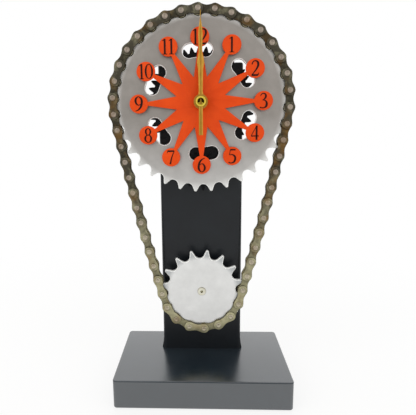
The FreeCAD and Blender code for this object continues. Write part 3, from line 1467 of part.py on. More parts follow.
def make_spring(x, depth):
    """A coil spring that presses on a cell's flat end."""
    helix = doc.addObject("Part::Helix", "helix")
    helix.setExpression("Pitch", formula("(spring_room - 2 * spring_wire) / spring_turn_count"))
    helix.setExpression("Height", formula("spring_room - 2 * spring_wire"))
    helix.setExpression("Radius", formula("spring_radius - spring_wire"))
    wire = doc.addObject("Part::Circle", "wire")
    wire.setExpression("Radius", formula("spring_wire"))
    wire.Placement = Placement(Vector(), STOOD_UP)
    wire.setExpression(".Placement.Base.x", formula("spring_radius - spring_wire"))
    doc.recompute()
    spring = doc.addObject("Part::Sweep", "spring")
    spring.Sections = [wire]
    spring.Spine = (helix, ["Edge1"])
    spring.Solid = True
    spring.Frenet = True
    put(spring, x, depth, "holder_low + holder_wall + spring_wire")
    return spring


def make_holder():
    """An open tray for cells side by side, upright behind the column's face, with a spring for each."""
    outside = block("-holder_half", "holder_half", "column_inside", "holder_back",
                    "holder_low", "holder_top")
    inside = block("holder_wall - holder_half", "holder_half - holder_wall", "column_inside + holder_wall",
                   "holder_back + overrun", "holder_low + holder_wall", "holder_top - holder_wall")
    named(cut(outside, inside), "battery_holder")
    cells = []
    springs = []
    depth = "column_inside + holder_wall + cell_play / 2 + cell_radius"
    for number in range(sizes.cell_count):
        x = f"({number} - (cell_count - 1) / 2) * 2 * (cell_radius + cell_play)"
        can = post("cell_radius", "cells_low", "cells_cap", x, depth)
        cap = post("cell_cap_radius", "cells_cap", "cells_cap + cell_cap_long", x, depth)
        cells.append(fuse(can, cap))
        springs.append(make_spring(x, depth))
    named(group(*cells), "motor_cells")
    named(group(*springs), "cell_springs")


def make_switch():
    """A slide switch under the battery holder, its slider facing the back and standing at one end."""
    half = "switch_wide / 2"
    floor = "holder_back - switch_deep"
    shell = block(f"-{half}", half, "column_inside", "holder_back", "switch_low", "switch_low + switch_high")
    slot = block("-slider_wide / 2 - slide_play", "slider_wide / 2 + switch_travel + slide_play", floor,
                 "holder_back + overrun", "switch_z - slider_high / 2 - slide_play",
                 "switch_z + slider_high / 2 + slide_play")
    named(cut(shell, slot), "switch_body")
    named(block("-slider_wide / 2", "slider_wide / 2", f"{floor} + slide_play", "holder_back + slider_proud",
                "switch_z - slider_high / 2", "switch_z + slider_high / 2"), "switch_slider")


make_motor()
make_clamp()
make_holder()
make_switch()


# Check every object, then write one file for each piece

doc.recompute()
for thing in doc.Objects:
    if "Invalid" in thing.State or "Error" in thing.State:
        raise RuntimeError(f"{thing.Label} failed: {thing.State}")
for piece in pieces:
    if piece.Shape.isNull() or not piece.Shape.isValid():
        raise RuntimeError(f"{piece.Label} has no sound shape")

os.makedirs("parts", exist_ok=True)
for piece in pieces:
    piece.Shape.exportStep(f"parts/{piece.Label}.step")
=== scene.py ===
import bpy
import json
import math
from mathutils import Matrix, Vector

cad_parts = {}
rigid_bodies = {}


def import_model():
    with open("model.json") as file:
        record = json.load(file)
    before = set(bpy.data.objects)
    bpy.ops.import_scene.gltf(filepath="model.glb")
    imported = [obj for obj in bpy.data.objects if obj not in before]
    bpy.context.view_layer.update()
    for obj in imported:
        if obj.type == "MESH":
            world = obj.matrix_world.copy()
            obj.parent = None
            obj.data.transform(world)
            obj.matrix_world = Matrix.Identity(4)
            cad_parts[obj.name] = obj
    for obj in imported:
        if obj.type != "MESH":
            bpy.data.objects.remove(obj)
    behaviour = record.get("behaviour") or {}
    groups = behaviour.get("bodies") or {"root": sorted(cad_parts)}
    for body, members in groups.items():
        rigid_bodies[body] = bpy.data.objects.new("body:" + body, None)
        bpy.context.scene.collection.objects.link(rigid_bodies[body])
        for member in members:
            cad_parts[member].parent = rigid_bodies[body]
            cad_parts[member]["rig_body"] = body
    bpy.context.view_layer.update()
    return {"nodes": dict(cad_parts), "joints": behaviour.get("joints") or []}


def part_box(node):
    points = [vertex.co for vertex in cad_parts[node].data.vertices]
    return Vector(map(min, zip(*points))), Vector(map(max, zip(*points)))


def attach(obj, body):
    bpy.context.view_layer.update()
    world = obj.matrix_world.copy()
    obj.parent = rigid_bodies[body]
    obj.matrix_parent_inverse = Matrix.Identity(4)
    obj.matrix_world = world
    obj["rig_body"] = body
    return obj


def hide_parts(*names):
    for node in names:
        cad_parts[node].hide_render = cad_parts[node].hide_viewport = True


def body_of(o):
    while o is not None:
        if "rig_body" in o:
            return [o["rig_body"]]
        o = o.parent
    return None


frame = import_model()
nodes = frame["nodes"]
MM = 0.001


# Camera
# The picture was taken by hand from about 33 cm away, from just below the middle of the dial, looking down a
# little and held slightly askew. The lens centre lies off the picture's middle, as it does after a crop.
CAMERA_PLACE = Vector((-1.7, -325.8, 209)) * MM
CAMERA_TILT = math.radians(80.47)
CAMERA_TURN = math.radians(2.41)
CAMERA_ROLL = math.radians(-0.76)
SENSOR_WIDE = 36
FOCAL_SHARE = 0.9648
CROP_SHIFT_SHARE = 0.0612
NEAREST_SEEN = 0.01

aim = Matrix.Rotation(CAMERA_TURN, 4, "Z") @ Matrix.Rotation(CAMERA_TILT, 4, "X")
aim @= Matrix.Rotation(CAMERA_ROLL, 4, "Z")
bpy.ops.object.select_all(action="DESELECT")
bpy.ops.object.camera_add(location=CAMERA_PLACE, rotation=aim.to_euler())
camera = bpy.context.object
camera.name = "product_camera"
camera.data.sensor_width = SENSOR_WIDE
camera.data.lens = SENSOR_WIDE * FOCAL_SHARE
camera.data.shift_x = CROP_SHIFT_SHARE
camera.data.clip_start = NEAREST_SEEN
bpy.context.scene.camera = camera
bpy.context.scene.view_settings.view_transform = "Standard"


# Table top and background
# A sheet of white paper that runs back out of focus into a white background. It is plain and matt, keeps
# the clock's own shadow, and is seen as plain white further away.
PAPER_RADIUS = 3
PAPER_SIDES = 64
PAPER_WHITE = "#f4f4f2"
PURE_WHITE = "#ffffff"
PAPER_GLOW_NEAR = 0.8
PAPER_FADE_START = 0.16
PAPER_FADE_END = 0.5


def linear(code):
    """An sRGB hex value as a linear colour with full alpha, by the formula of the sRGB standard."""
    shares = [int(code[start:start + 2], 16) / 255 for start in (1, 3, 5)]
    curved = [share / 12.92 if share <= 0.04045 else ((share + 0.055) / 1.055) ** 2.4 for share in shares]
    return [*curved, 1]


def add_node(tree, kind, sockets, **settings):
    """Add one node: its settings, then each socket's value or the output that is linked to it."""
    node = tree.nodes.new(kind)
    for name, value in settings.items():
        setattr(node, name, value)
    for name, value in sockets.items():
        if isinstance(value, bpy.types.NodeSocket):
            tree.links.new(value, node.inputs[name])
        else:
            node.inputs[name].default_value = value
    return node


def by_way_of_another(tree, path):
    """1 for a ray that comes by way of a polished or a clear surface."""
    return add_node(tree, "ShaderNodeMath", {
        0: path.outputs["Is Glossy Ray"], 1: path.outputs["Is Transmission Ray"]},
        operation="MAXIMUM").outputs[0]


def seen_directly(tree):
    """1 where the camera sees the surface, also in a polished or clear one, and 0 for its own light."""
    path = add_node(tree, "ShaderNodeLightPath", {})
    return add_node(tree, "ShaderNodeMath", {
        0: path.outputs["Is Camera Ray"], 1: by_way_of_another(tree, path)},
        operation="MAXIMUM").outputs[0]


def lay_paper():
    """The table top."""
    bpy.ops.mesh.primitive_circle_add(vertices=PAPER_SIDES, radius=PAPER_RADIUS, fill_type="NGON")
    paper = bpy.context.object
    paper.name = "table_top"
    material = bpy.data.materials.new("matt_white_paper")
    material.use_nodes = True
    tree = material.node_tree
    place = add_node(tree, "ShaderNodeTexCoord", {})
    away = add_node(tree, "ShaderNodeVectorMath", {0: place.outputs["Object"]}, operation="LENGTH")
    glow = add_node(tree, "ShaderNodeMapRange", {
        "Value": away.outputs["Value"], "From Min": PAPER_FADE_START, "From Max": PAPER_FADE_END,
        "To Min": PAPER_GLOW_NEAR, "To Max": 1})
    share = add_node(tree, "ShaderNodeMath", {
        0: glow.outputs["Result"], 1: seen_directly(tree)}, operation="MULTIPLY")
    matt = add_node(tree, "ShaderNodeBsdfDiffuse", {"Color": linear(PAPER_WHITE)})
    white = add_node(tree, "ShaderNodeEmission", {"Color": linear(PURE_WHITE), "Strength": 1})
    mixed = add_node(tree, "ShaderNodeMixShader", {
        0: share.outputs[0], 1: matt.outputs[0], 2: white.outputs[0]})
    tree.links.new(mixed.outputs[0], tree.nodes["Material Output"].inputs["Surface"])
    paper.data.materials.append(material)


lay_paper()


# Light
# A white room, whose wall behind the clock is the brightest, as polished faces show. A large soft box stands
# above the front on each side. A smaller one stands behind the clock and is kept out of polished faces.
ROOM_LIGHT = 0.66
ROOM_FRONT = -0.3
ROOM_BACK = 0.5
ROOM_MIRRORED_FRONT = 0.55
ROOM_MIRRORED_BACK = 1.35
SOFT_BOXES = {
    "left_box": {"place": (-0.9, -1, 1), "size": 1.5, "power": 9, "mirrored": True},
    "right_box": {"place": (0.9, -1, 0.8), "size": 1.5, "power": 7, "mirrored": True},
    "rear_box": {"place": (0, 1.1, 1.1), "size": 1.2, "power": 6, "mirrored": False},
}
LIT_POINT = Vector((0, 0, 160)) * MM


def light_room():
    """The room's light: its plain level, what polished faces show of it, and white where it is looked at."""
    room = bpy.data.worlds.new("white_room")
    room.use_nodes = True
    bpy.context.scene.world = room
    tree = room.node_tree
    path = add_node(tree, "ShaderNodeLightPath", {})
    look = add_node(tree, "ShaderNodeTexCoord", {})
    parts = add_node(tree, "ShaderNodeSeparateXYZ", {0: look.outputs["Generated"]})
    mirrored = add_node(tree, "ShaderNodeMapRange", {
        "Value": parts.outputs["Y"], "From Min": ROOM_FRONT, "From Max": ROOM_BACK,
        "To Min": ROOM_MIRRORED_FRONT, "To Max": ROOM_MIRRORED_BACK})
    lit = add_node(tree, "ShaderNodeMix", {
        "Factor": by_way_of_another(tree, path), "A": ROOM_LIGHT, "B": mirrored.outputs["Result"]},
        data_type="FLOAT")
    seen = add_node(tree, "ShaderNodeMix", {
        "Factor": path.outputs["Is Camera Ray"], "A": lit.outputs["Result"], "B": 1}, data_type="FLOAT")
    tree.nodes["Background"].inputs["Color"].default_value = linear(PURE_WHITE)
    tree.links.new(seen.outputs["Result"], tree.nodes["Background"].inputs["Strength"])


light_room()
for name, box in SOFT_BOXES.items():
    aim = (LIT_POINT - Vector(box["place"])).to_track_quat("-Z", "Y").to_euler()
    bpy.ops.object.light_add(type="AREA", location=box["place"], rotation=aim)
    lamp = bpy.context.object
    lamp.name = name
    lamp.data.size = box["size"]
    lamp.data.energy = box["power"]
    lamp.visible_glossy = box["mirrored"]


# Base
# A block of pressed board under thick black lacquer, polished, so it mirrors with a soft blur what stands on
# it. Its upper edge is rounded, and there the lacquer mirrors less, as a painted shade line. Four rubber
# pads are let into its underside.
BASE_CORNER = 3 * MM
BASE_CORNER_STEPS = 8
BASE_EDGE = 0.9 * MM
BASE_EDGE_STEPS = 5
LACQUER_CLOUDS = 20 * MM, "#1b242b", "#202a31"
LACQUER_HAZE = 12 * MM
LACQUER_IOR = 2.12
LACQUER_ROUGHNESS = 0.23
# A duller lacquer on the rounded upper edge, which mirrors less: a painted shade line.
SHADE_LINE_IOR = 1.3
SHADE_LINE_ROUGHNESS = 0.45
ROUGHNESS_SPREAD = 0.04
SHADE_LINE_FROM = 0.1
SHADE_LINE_TO = 0.6
PAD_CLOUDS = 3 * MM, "#1b1b1c", "#242425"
PAD_ROUGHNESS = 0.8
PAD_GRAINS = 0.4 * MM, 0.03 * MM
NOISE_LOW = 0.3
NOISE_HIGH = 0.7
SMOOTH_UNDER = 35


def finish(name, slot_name, clouds, haze, grains, levels):
    """A material with the record's slot name. Clouds are a size and two colours, the haze is a size and two
    roughnesses, grains are a size and a height, and levels are plain values of the shader."""
    material = bpy.data.materials.new(name)
    material.use_nodes = True
    material["slot"] = slot_name
    tree = material.node_tree
    sockets = tree.nodes["Principled BSDF"].inputs
    if clouds:
        size, one, other = clouds
        tree.links.new(two_tone(tree, grain(tree, size), one, other), sockets["Base Color"])
    if haze:
        size, low, high = haze
        tree.links.new(between(tree, grain(tree, size), low, high), sockets["Roughness"])
    if grains:
        size, height = grains
        bump = add_node(tree, "ShaderNodeBump", {
            "Height": grain(tree, size), "Distance": height, "Strength": 1})
        tree.links.new(bump.outputs["Normal"], sockets["Normal"])
    for level, value in levels.items():
        sockets[level].default_value = value
    return material


def grain(tree, size, detail=2):
    """Uneven cloudy values, each patch about as large as the size given."""
    place = add_node(tree, "ShaderNodeTexCoord", {})
    return add_node(tree, "ShaderNodeTexNoise", {
        "Vector": place.outputs["Object"], "Scale": 1 / size, "Detail": detail}).outputs["Fac"]


def between(tree, values, low, high):
    """The same values brought into a range of their own."""
    return add_node(tree, "ShaderNodeMapRange", {
        "Value": values, "From Min": NOISE_LOW, "From Max": NOISE_HIGH, "To Min": low,
        "To Max": high}).outputs["Result"]


def two_tone(tree, values, one, other):
    """A colour between two others, by the values."""
    return add_node(tree, "ShaderNodeMix", {
        "Factor": between(tree, values, 0, 1), "A": linear(one), "B": linear(other)},
        data_type="RGBA").outputs["Result"]


def lacquer(name, ior, roughness):
    """Black lacquer: dark and even. Polished, it mirrors the room with a soft blur. Its IOR is then above
    that of common lacquer, to mirror as much as the photo shows."""
    haze = LACQUER_HAZE, roughness, roughness + ROUGHNESS_SPREAD
    return finish(name, "black_lacquer", LACQUER_CLOUDS, haze, None, {"IOR": ior})


def rubber():
    """Moulded rubber: black and quite matt, with a fine tooth."""
    return finish("moulded_rubber", "pad_rubber", PAD_CLOUDS, None, PAD_GRAINS, {"Roughness": PAD_ROUGHNESS})


def dress(material, *names):
    """Give CAD nodes a finish."""
    for name in names:
        nodes[name].data.materials.clear()
        nodes[name].data.materials.append(material)


def stand_for(piece, body, material, *names):
    """Finish a new piece that takes the place of CAD nodes on their body."""
    piece.data.materials.clear()
    piece.data.materials.append(material)
    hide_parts(*names)
    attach(piece, body)


def pick_edges(piece, is_chosen):
    """Go into edit mode with only the chosen edges selected. The test gets an edge's two corners."""
    bpy.context.view_layer.objects.active = piece
    bpy.ops.object.mode_set(mode="EDIT")
    bpy.ops.mesh.select_mode(type="EDGE")
    bpy.ops.mesh.select_all(action="DESELECT")
    bpy.ops.object.mode_set(mode="OBJECT")
    corners = piece.data.vertices
    for edge in piece.data.edges:
        edge.select = is_chosen(*(corners[number].co for number in edge.vertices))
    bpy.ops.object.mode_set(mode="EDIT")


def select_only(*pieces):
    """Select these pieces and nothing else. The first is the active one."""
    bpy.ops.object.select_all(action="DESELECT")
    for piece in pieces:
        piece.select_set(True)
    bpy.context.view_layer.objects.active = pieces[0]


def leave_smooth(piece, angle=SMOOTH_UNDER):
    """Back to object mode, with curved faces shaded smooth and edges sharper than the angle kept."""
    bpy.ops.object.mode_set(mode="OBJECT")
    select_only(piece)
    bpy.ops.object.shade_smooth_by_angle(angle=math.radians(angle))


def make_base():
    """The block, with its upright corners and then its long edges rounded, and a painted shade line on its
    upper edge, where the lacquer mirrors less.
    """
    low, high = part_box("base_block")
    middle = (low + high) / 2
    bpy.ops.object.select_all(action="DESELECT")
    bpy.ops.mesh.primitive_cube_add(size=1, location=middle, scale=high - low)
    block = bpy.context.object
    block.name = "lacquered_base"
    bpy.ops.object.transform_apply(location=True, rotation=True, scale=True)
    pick_edges(block, lambda one, other: abs(one.z - other.z) > BASE_CORNER)
    bpy.ops.mesh.bevel(offset=BASE_CORNER, segments=BASE_CORNER_STEPS, affect="EDGES")
    pick_edges(block, lambda one, other: abs(one.z - other.z) < BASE_EDGE)
    bpy.ops.mesh.bevel(offset=BASE_EDGE, segments=BASE_EDGE_STEPS, affect="EDGES")
    leave_smooth(block)
    polished = lacquer("polished_black_lacquer", LACQUER_IOR, LACQUER_ROUGHNESS)
    stand_for(block, "stand", polished, "base_block")
    # The rounded upper edge gets the duller lacquer: a painted shade line.
    block.data.materials.append(lacquer("duller_lacquer_painted_shade_line", SHADE_LINE_IOR, SHADE_LINE_ROUGHNESS))
    for face in block.data.polygons:
        near_top = face.center.z > high.z - BASE_EDGE
        face.material_index = int(near_top and SHADE_LINE_FROM < face.normal.z < SHADE_LINE_TO)


make_base()
dress(rubber(), "foot_pads")


# Column
# Steel sheet folded into a channel, black powder coat baked on: dark, satin, with a very fine sandy grain.
# A bracket is welded inside its foot and screwed down, and a narrow flare runs up each side of the foot.
COAT_CLOUDS = 15 * MM, "#080c11", "#0c1217"
COAT_HAZE = 3 * MM, 0.34, 0.4
COAT_SHEEN = 0.36
COAT_GRAINS = 0.5 * MM, 0.006 * MM
ZINC_CLOUDS = 2.5 * MM, "#9a9da0", "#b2b6b8"
ZINC_HAZE = 1.5 * MM, 0.3, 0.42
ZINC_GRAINS = 0.6 * MM, 0.006 * MM


def powder_coat():
    """Black powder coat, baked: a dark satin face with fine sandy grains."""
    return finish("baked_powder_coat", "column_paint", COAT_CLOUDS, COAT_HAZE, COAT_GRAINS,
                  {"Specular IOR Level": COAT_SHEEN})


def zinc_plate(slot_name):
    """Steel with a thin coat of zinc: pale grey with a bluish bloom in small patches."""
    return finish("zinc_plated_" + slot_name, slot_name, ZINC_CLOUDS, ZINC_HAZE, ZINC_GRAINS,
                  {"Metallic": 1})


plated_bracket = zinc_plate("bracket_steel")
plated_screw = zinc_plate("screw_steel")
dress(powder_coat(), "column", "foot_flares")
dress(plated_bracket, "foot_bracket", "idler_spacer", "centre_sleeve")
dress(plated_screw, "idler_washer", "idler_nut")


# Sprockets and drive gear
# Steel blanks, cut, then blasted to an even satin grey on the faces. Every bevel, the slots' walls too, is
# bare from the cutter and painted near white as a highlight. The teeth carry painted light of their
# chamfered flanks. The faces are paler low down, a painted reflection of the white paper. The gear behind is
# blackened.
DISC_TONES = "#938e88", "#9e9892"
# Paler tones low down: a painted reflection of the white paper under the clock.
DISC_PAPER_REFLECTION_TONES = "#dadad8", "#e6e6e4"
DISC_CLOUD = 9 * MM
DISC_DETAIL = 6
DISC_REFLECTION_ENDS_ABOVE = 228 * MM
DISC_REFLECTION_FULL_BELOW = 120 * MM
DISC_HAZE = 1.2 * MM, 0.4, 0.48
DISC_GRAINS = 0.5 * MM, 0.006 * MM
# Near white on every bevel and slot wall: a painted highlight over the bare cut steel.
DISC_PAINTED_EDGE_HIGHLIGHT = "#f4f4f1"
HIGHLIGHT_EDGE_METALLIC = 0.3
FACE_SQUARE_TO_FRONT = 0.97
LARGE_FACE_END = 62 * MM
LARGE_TOOTH_END = 70 * MM
SMALL_FACE_END = 27.5 * MM
SMALL_TOOTH_END = 31 * MM
# Tooth tones: painted light on the chamfered flanks, a highlight on the large sprocket and shade on the
# small one.
SMALL_TOOTH_PAINTED_SHADE = "#b2b5b5"
TOOTH_LIGHT_SHARE = 0.85
GEAR_CLOUDS = 3 * MM, "#0b0b0c", "#111112"
GEAR_HAZE = 2 * MM, 0.4, 0.5
GEAR_SHEEN = 0.1
BRONZE_CLOUDS = 0.8 * MM, "#a8783f", "#8e6331"
TINNED_CLOUDS = 0.8 * MM, "#cbc9c1", "#bdbbb2"
BRONZE_ROUGHNESS = 0.42
BRONZE_GRAINS = 0.4 * MM, 0.01 * MM


def blasted_steel(name, slot_name, tooth_light_colour, centre, face_end, tooth_end):
    """Blasted steel: a satin face, paler low down as a painted reflection of the white paper, teeth in a
    tone of painted light from the end of the face out, and a painted highlight on the bevels where the
    surface turns from the front."""
    material = finish(name, slot_name, None, DISC_HAZE, DISC_GRAINS, {})
    tree = material.node_tree
    sockets = tree.nodes["Principled BSDF"].inputs
    place = add_node(tree, "ShaderNodeTexCoord", {})
    height = add_node(tree, "ShaderNodeSeparateXYZ", {0: place.outputs["Object"]})
    # Paler low down: the painted reflection of the white paper.
    reflection_share = add_node(tree, "ShaderNodeMapRange", {
        "Value": height.outputs["Z"], "From Min": DISC_REFLECTION_ENDS_ABOVE, "From Max": DISC_REFLECTION_FULL_BELOW})
    grey = two_tone(tree, grain(tree, DISC_CLOUD, DISC_DETAIL), *DISC_TONES)
    reflected_tone = two_tone(tree, grain(tree, DISC_CLOUD, DISC_DETAIL), *DISC_PAPER_REFLECTION_TONES)
    plain = add_node(tree, "ShaderNodeMix", {
        "Factor": reflection_share.outputs["Result"], "A": grey, "B": reflected_tone}, data_type="RGBA")
    flat = add_node(tree, "ShaderNodeVectorMath", {
        0: place.outputs["Object"], 1: centre}, operation="SUBTRACT")
    across = add_node(tree, "ShaderNodeVectorMath", {0: flat.outputs[0], 1: (1, 0, 1)}, operation="MULTIPLY")
    radius = add_node(tree, "ShaderNodeVectorMath", {0: across.outputs[0]}, operation="LENGTH")
    # From the end of the face out, the teeth take the tone of their painted light.
    outward = add_node(tree, "ShaderNodeMapRange", {
        "Value": radius.outputs["Value"], "From Min": face_end, "From Max": tooth_end,
        "To Max": TOOTH_LIGHT_SHARE})
    tooth_lit = add_node(tree, "ShaderNodeMix", {
        "Factor": outward.outputs["Result"], "A": plain.outputs["Result"], "B": linear(tooth_light_colour)},
        data_type="RGBA")
    # Where the surface turns from the front: a painted highlight, near white and less metallic.
    shape = add_node(tree, "ShaderNodeNewGeometry", {})
    parts = add_node(tree, "ShaderNodeSeparateXYZ", {0: shape.outputs["True Normal"]})
    facing = add_node(tree, "ShaderNodeMath", {0: parts.outputs["Y"]}, operation="ABSOLUTE")
    turned = add_node(tree, "ShaderNodeMath", {
        0: facing.outputs[0], 1: FACE_SQUARE_TO_FRONT}, operation="LESS_THAN")
    mix = add_node(tree, "ShaderNodeMix", {
        "Factor": turned.outputs[0], "A": tooth_lit.outputs["Result"], "B": linear(DISC_PAINTED_EDGE_HIGHLIGHT)},
        data_type="RGBA")
    tree.links.new(mix.outputs["Result"], sockets["Base Color"])
    bare = add_node(tree, "ShaderNodeMix", {
        "Factor": turned.outputs[0], "A": 1, "B": HIGHLIGHT_EDGE_METALLIC}, data_type="FLOAT")
    tree.links.new(bare.outputs["Result"], sockets["Metallic"])
    return material


def blackened_steel():
    """Gear steel blackened in a hot bath: an even, oily black with a soft sheen."""
    return finish("blackened_gear_steel", "gear_black", GEAR_CLOUDS, GEAR_HAZE, None,
                  {"Specular IOR Level": GEAR_SHEEN})


def bearing_bronze(name, clouds):
    """Sintered bearing bronze, bare or tinned: a little porous."""
    return finish(name, "bronze", clouds, None, BRONZE_GRAINS,
                  {"Metallic": 1, "Roughness": BRONZE_ROUGHNESS})


joint_place = {joint["name"]: Vector(joint["pos_m"]) for joint in frame["joints"] if "pos_m" in joint}
dial_place = joint_place["large_sprocket_turn"]
idler_place = joint_place["small_sprocket_turn"]
dress(blasted_steel("blasted_steel_disc", "disc_steel", DISC_PAINTED_EDGE_HIGHLIGHT, dial_place, LARGE_FACE_END,
                    LARGE_TOOTH_END), "large_sprocket")
dress(blasted_steel("small_disc_painted_reflection", "bright_steel", SMALL_TOOTH_PAINTED_SHADE, idler_place, SMALL_FACE_END,
                    SMALL_TOOTH_END), "small_sprocket")
dress(blackened_steel(), "drive_gear", "motor_pinion")
dress(bearing_bronze("bearing_bronze", BRONZE_CLOUDS), "sprocket_bush")
dress(bearing_bronze("tinned_bearing_bronze", TINNED_CLOUDS), "idler_bush")


# Chain
# Half-inch roller chain with 50 pitches. Plates are stamped, so their edges are rolled over, and pins are
# riveted over the outer plates. Old oil has browned it. It is paler low in the loop than at the top, a
# painted reflection of the white paper, and darker where its surfaces turn from the front, a painted shade.
PITCH = 12.7 * MM
LARGE_TEETH = 34
SMALL_TEETH = 16
LINK_COUNT = 50
FIRST_PIN_ANGLE = math.radians(91.5)
STRAND_BOW = 1.5 * MM
PLATE_END = 4.15 * MM
PLATE_WAIST = 2.85 * MM
PLATE_WAIST_CUTS = 7
PLATE_THICK = 1 * MM
PLATE_EDGE = 0.4 * MM
PLATE_SMOOTH_UNDER = 50
INNER_PLATE = 1.65 * MM
OUTER_PLATE = 2.75 * MM
PIN_RADIUS = 1.8 * MM
PIN_HALF = 4.5 * MM
PIN_STEPS = 16
RIVET_RADIUS = 2.15 * MM
RIVET_THICK = 0.6 * MM
RIVET_OUT_SHARES = 0, 0.5, 0.68, 0.86, 1
RIVET_DEPTHS = 0.25 * MM, 0.25 * MM, 0, 0.1 * MM, 0.3 * MM
ROLLER_RADIUS = 3.86 * MM
ROLLER_HALF = 1.61 * MM
ROLLER_EDGE = 0.25 * MM
BUSHING_RADIUS = 2.5 * MM
ROUND_STEPS = 20
MERGE_WITHIN = 0.001 * MM
# Paler low in the loop: a painted reflection of the white paper.
CHAIN_REFLECTION_ENDS_ABOVE = 200 * MM
CHAIN_REFLECTION_FULL_BELOW = 62 * MM
CHAIN_BLOTCH = 4 * MM
CHAIN_CONTRAST = 1.4
CHAIN_DETAIL = 5
CHAIN_HAZE = 1.5 * MM
CHAIN_ROUGHNESS_SPREAD = 0.2
CHAIN_GRAINS = 0.7 * MM, 0.02 * MM
# Darker where surfaces turn from the front: painted shade.
CHAIN_PAINTED_EDGE_SHADE = "#2f2a20"
EDGE_SHADE_FROM = 0.9
EDGE_SHADE_TO = 0.35
CHAIN_RUST = "#77541f"
RUST_PATCH = 11 * MM
RUST_DETAIL = 4
RUST_FROM = 0.52
RUST_TO = 0.75
RUST_MOST = 0.6
# Roller tones: grease, painted lighter to stand in for light reaching the rollers between the plates.
GREASE_LIGHTENED_CLOUDS = 3 * MM, "#a89c70", "#8c7f58"
GREASE_METALLIC = 0.15
GREASE_ROUGHNESS = 0.55
# Each steel's slot, its darkest and its palest colour, and its roughness.
CHAIN_LOOKS = {
    "oiled_outer_plates": ("chain_outer", "#4a463b", "#b3ae8d", 0.42),
    "oiled_inner_plates": ("chain_inner", "#403c31", "#989477", 0.46),
    "riveted_pins": ("chain_pin", "#93877b", "#bbb39c", 0.36),
}


def round_place(centre, radius, angle):
    """A place on a circle seen from the front, in the chain's plane."""
    return Vector((centre.x + radius * math.cos(angle), 0, centre.z + radius * math.sin(angle)))


def bowed(start, end, share):
    """A place along a strand, which bows outward between the sprockets under the chain's weight."""
    outward = (end - start).cross(Vector((0, -1, 0))).normalized()
    return start.lerp(end, share) + outward * STRAND_BOW * math.sin(math.pi * share)


def pin_places():
    """Every pin of the chain in turn, one pitch apart round both sprockets."""
    large = PITCH / 2 / math.sin(math.pi / LARGE_TEETH)
    small = PITCH / 2 / math.sin(math.pi / SMALL_TEETH)
    apart = dial_place.z - idler_place.z
    lean = math.asin((large - small) / apart)
    strand = apart * math.cos(lean) / PITCH
    leaves = math.pi + lean
    before_leaving = (leaves - FIRST_PIN_ANGLE) * LARGE_TEETH / math.tau
    round_small = (math.pi - 2 * lean) * SMALL_TEETH / math.tau
    down = round_place(dial_place, large, leaves), round_place(idler_place, small, leaves)
    up = round_place(idler_place, small, -lean), round_place(dial_place, large, -lean)
    for number in range(LINK_COUNT):
        if number <= before_leaving:
            yield round_place(dial_place, large, FIRST_PIN_ANGLE + number * math.tau / LARGE_TEETH)
            continue
        along = number - before_leaving
        if along <= strand:
            yield bowed(*down, along / strand)
            continue
        along -= strand
        if along <= round_small:
            yield round_place(idler_place, small, leaves + along * math.tau / SMALL_TEETH)
            continue
        along -= round_small
        if along <= strand:
            yield bowed(*up, along / strand)
        else:
            yield round_place(dial_place, large, (along - strand) * math.tau / LARGE_TEETH - lean)


PINS = list(pin_places())
chain_low, chain_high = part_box("chain_rollers")
CHAIN_DEPTH = (chain_low.y + chain_high.y) / 2


def draw(name, corners, edges, faces):
    """A piece from its corners and their edges or faces, left in edit mode with all of it selected."""
    mesh = bpy.data.meshes.new(name)
    mesh.from_pydata(corners, edges, faces)
    piece = bpy.data.objects.new(name, mesh)
    bpy.context.scene.collection.objects.link(piece)
    select_only(piece)
    bpy.ops.object.mode_set(mode="EDIT")
    bpy.ops.mesh.select_all(action="SELECT")
    return piece


def turn_on_lathe(name, profile, centre, steps=ROUND_STEPS):
    """A round piece about a line from front to back. The profile is radius and depth, and starts and ends at
    the middle or meets itself."""
    corners = [centre + Vector((radius, depth, 0)) for radius, depth in profile]
    piece = draw(name, corners, [(number, number + 1) for number in range(len(corners) - 1)], [])
    bpy.ops.mesh.spin(steps=steps, angle=math.tau, center=centre, axis=(0, 1, 0))
    bpy.ops.mesh.select_all(action="SELECT")
    bpy.ops.mesh.remove_doubles(threshold=MERGE_WITHIN)
    bpy.ops.mesh.normals_make_consistent(inside=False)
    leave_smooth(piece)
    return piece


def stamp_plate():
    """A link plate along X from its first pin: a round blank pulled out to the next pin, waisted, thickened
    and rolled over at the edge."""
    bpy.ops.object.select_all(action="DESELECT")
    bpy.ops.mesh.primitive_circle_add(vertices=ROUND_STEPS, radius=PLATE_END, fill_type="NOTHING",
                                      rotation=(math.pi / 2, math.pi / ROUND_STEPS, 0))
    plate = bpy.context.object
    bpy.ops.object.transform_apply(location=True, rotation=True, scale=True)
    for corner in plate.data.vertices:
        if corner.co.x > 0:
            corner.co.x += PITCH
    pick_edges(plate, lambda one, other: abs(one.x - other.x) > PITCH / 2)
    bpy.ops.mesh.subdivide(number_cuts=PLATE_WAIST_CUTS)
    bpy.ops.object.mode_set(mode="OBJECT")
    for corner in plate.data.vertices:
        along = min(max(corner.co.x / PITCH, 0), 1)
        squeeze = (1 - PLATE_WAIST / PLATE_END) * math.sin(math.pi * along) ** 2
        corner.co.z *= 1 - squeeze
    bpy.ops.object.mode_set(mode="EDIT")
    bpy.ops.mesh.select_all(action="SELECT")
    bpy.ops.mesh.edge_face_add()
    bpy.ops.mesh.extrude_region_move(TRANSFORM_OT_translate={"value": (0, PLATE_THICK, 0)})
    bpy.ops.mesh.select_all(action="SELECT")
    bpy.ops.mesh.normals_make_consistent(inside=False)
    pick_edges(plate, lambda one, other: abs(one.y - other.y) < PLATE_EDGE)
    bpy.ops.mesh.bevel(offset=PLATE_EDGE, segments=2, affect="EDGES")
    leave_smooth(plate, PLATE_SMOOTH_UNDER)
    return plate


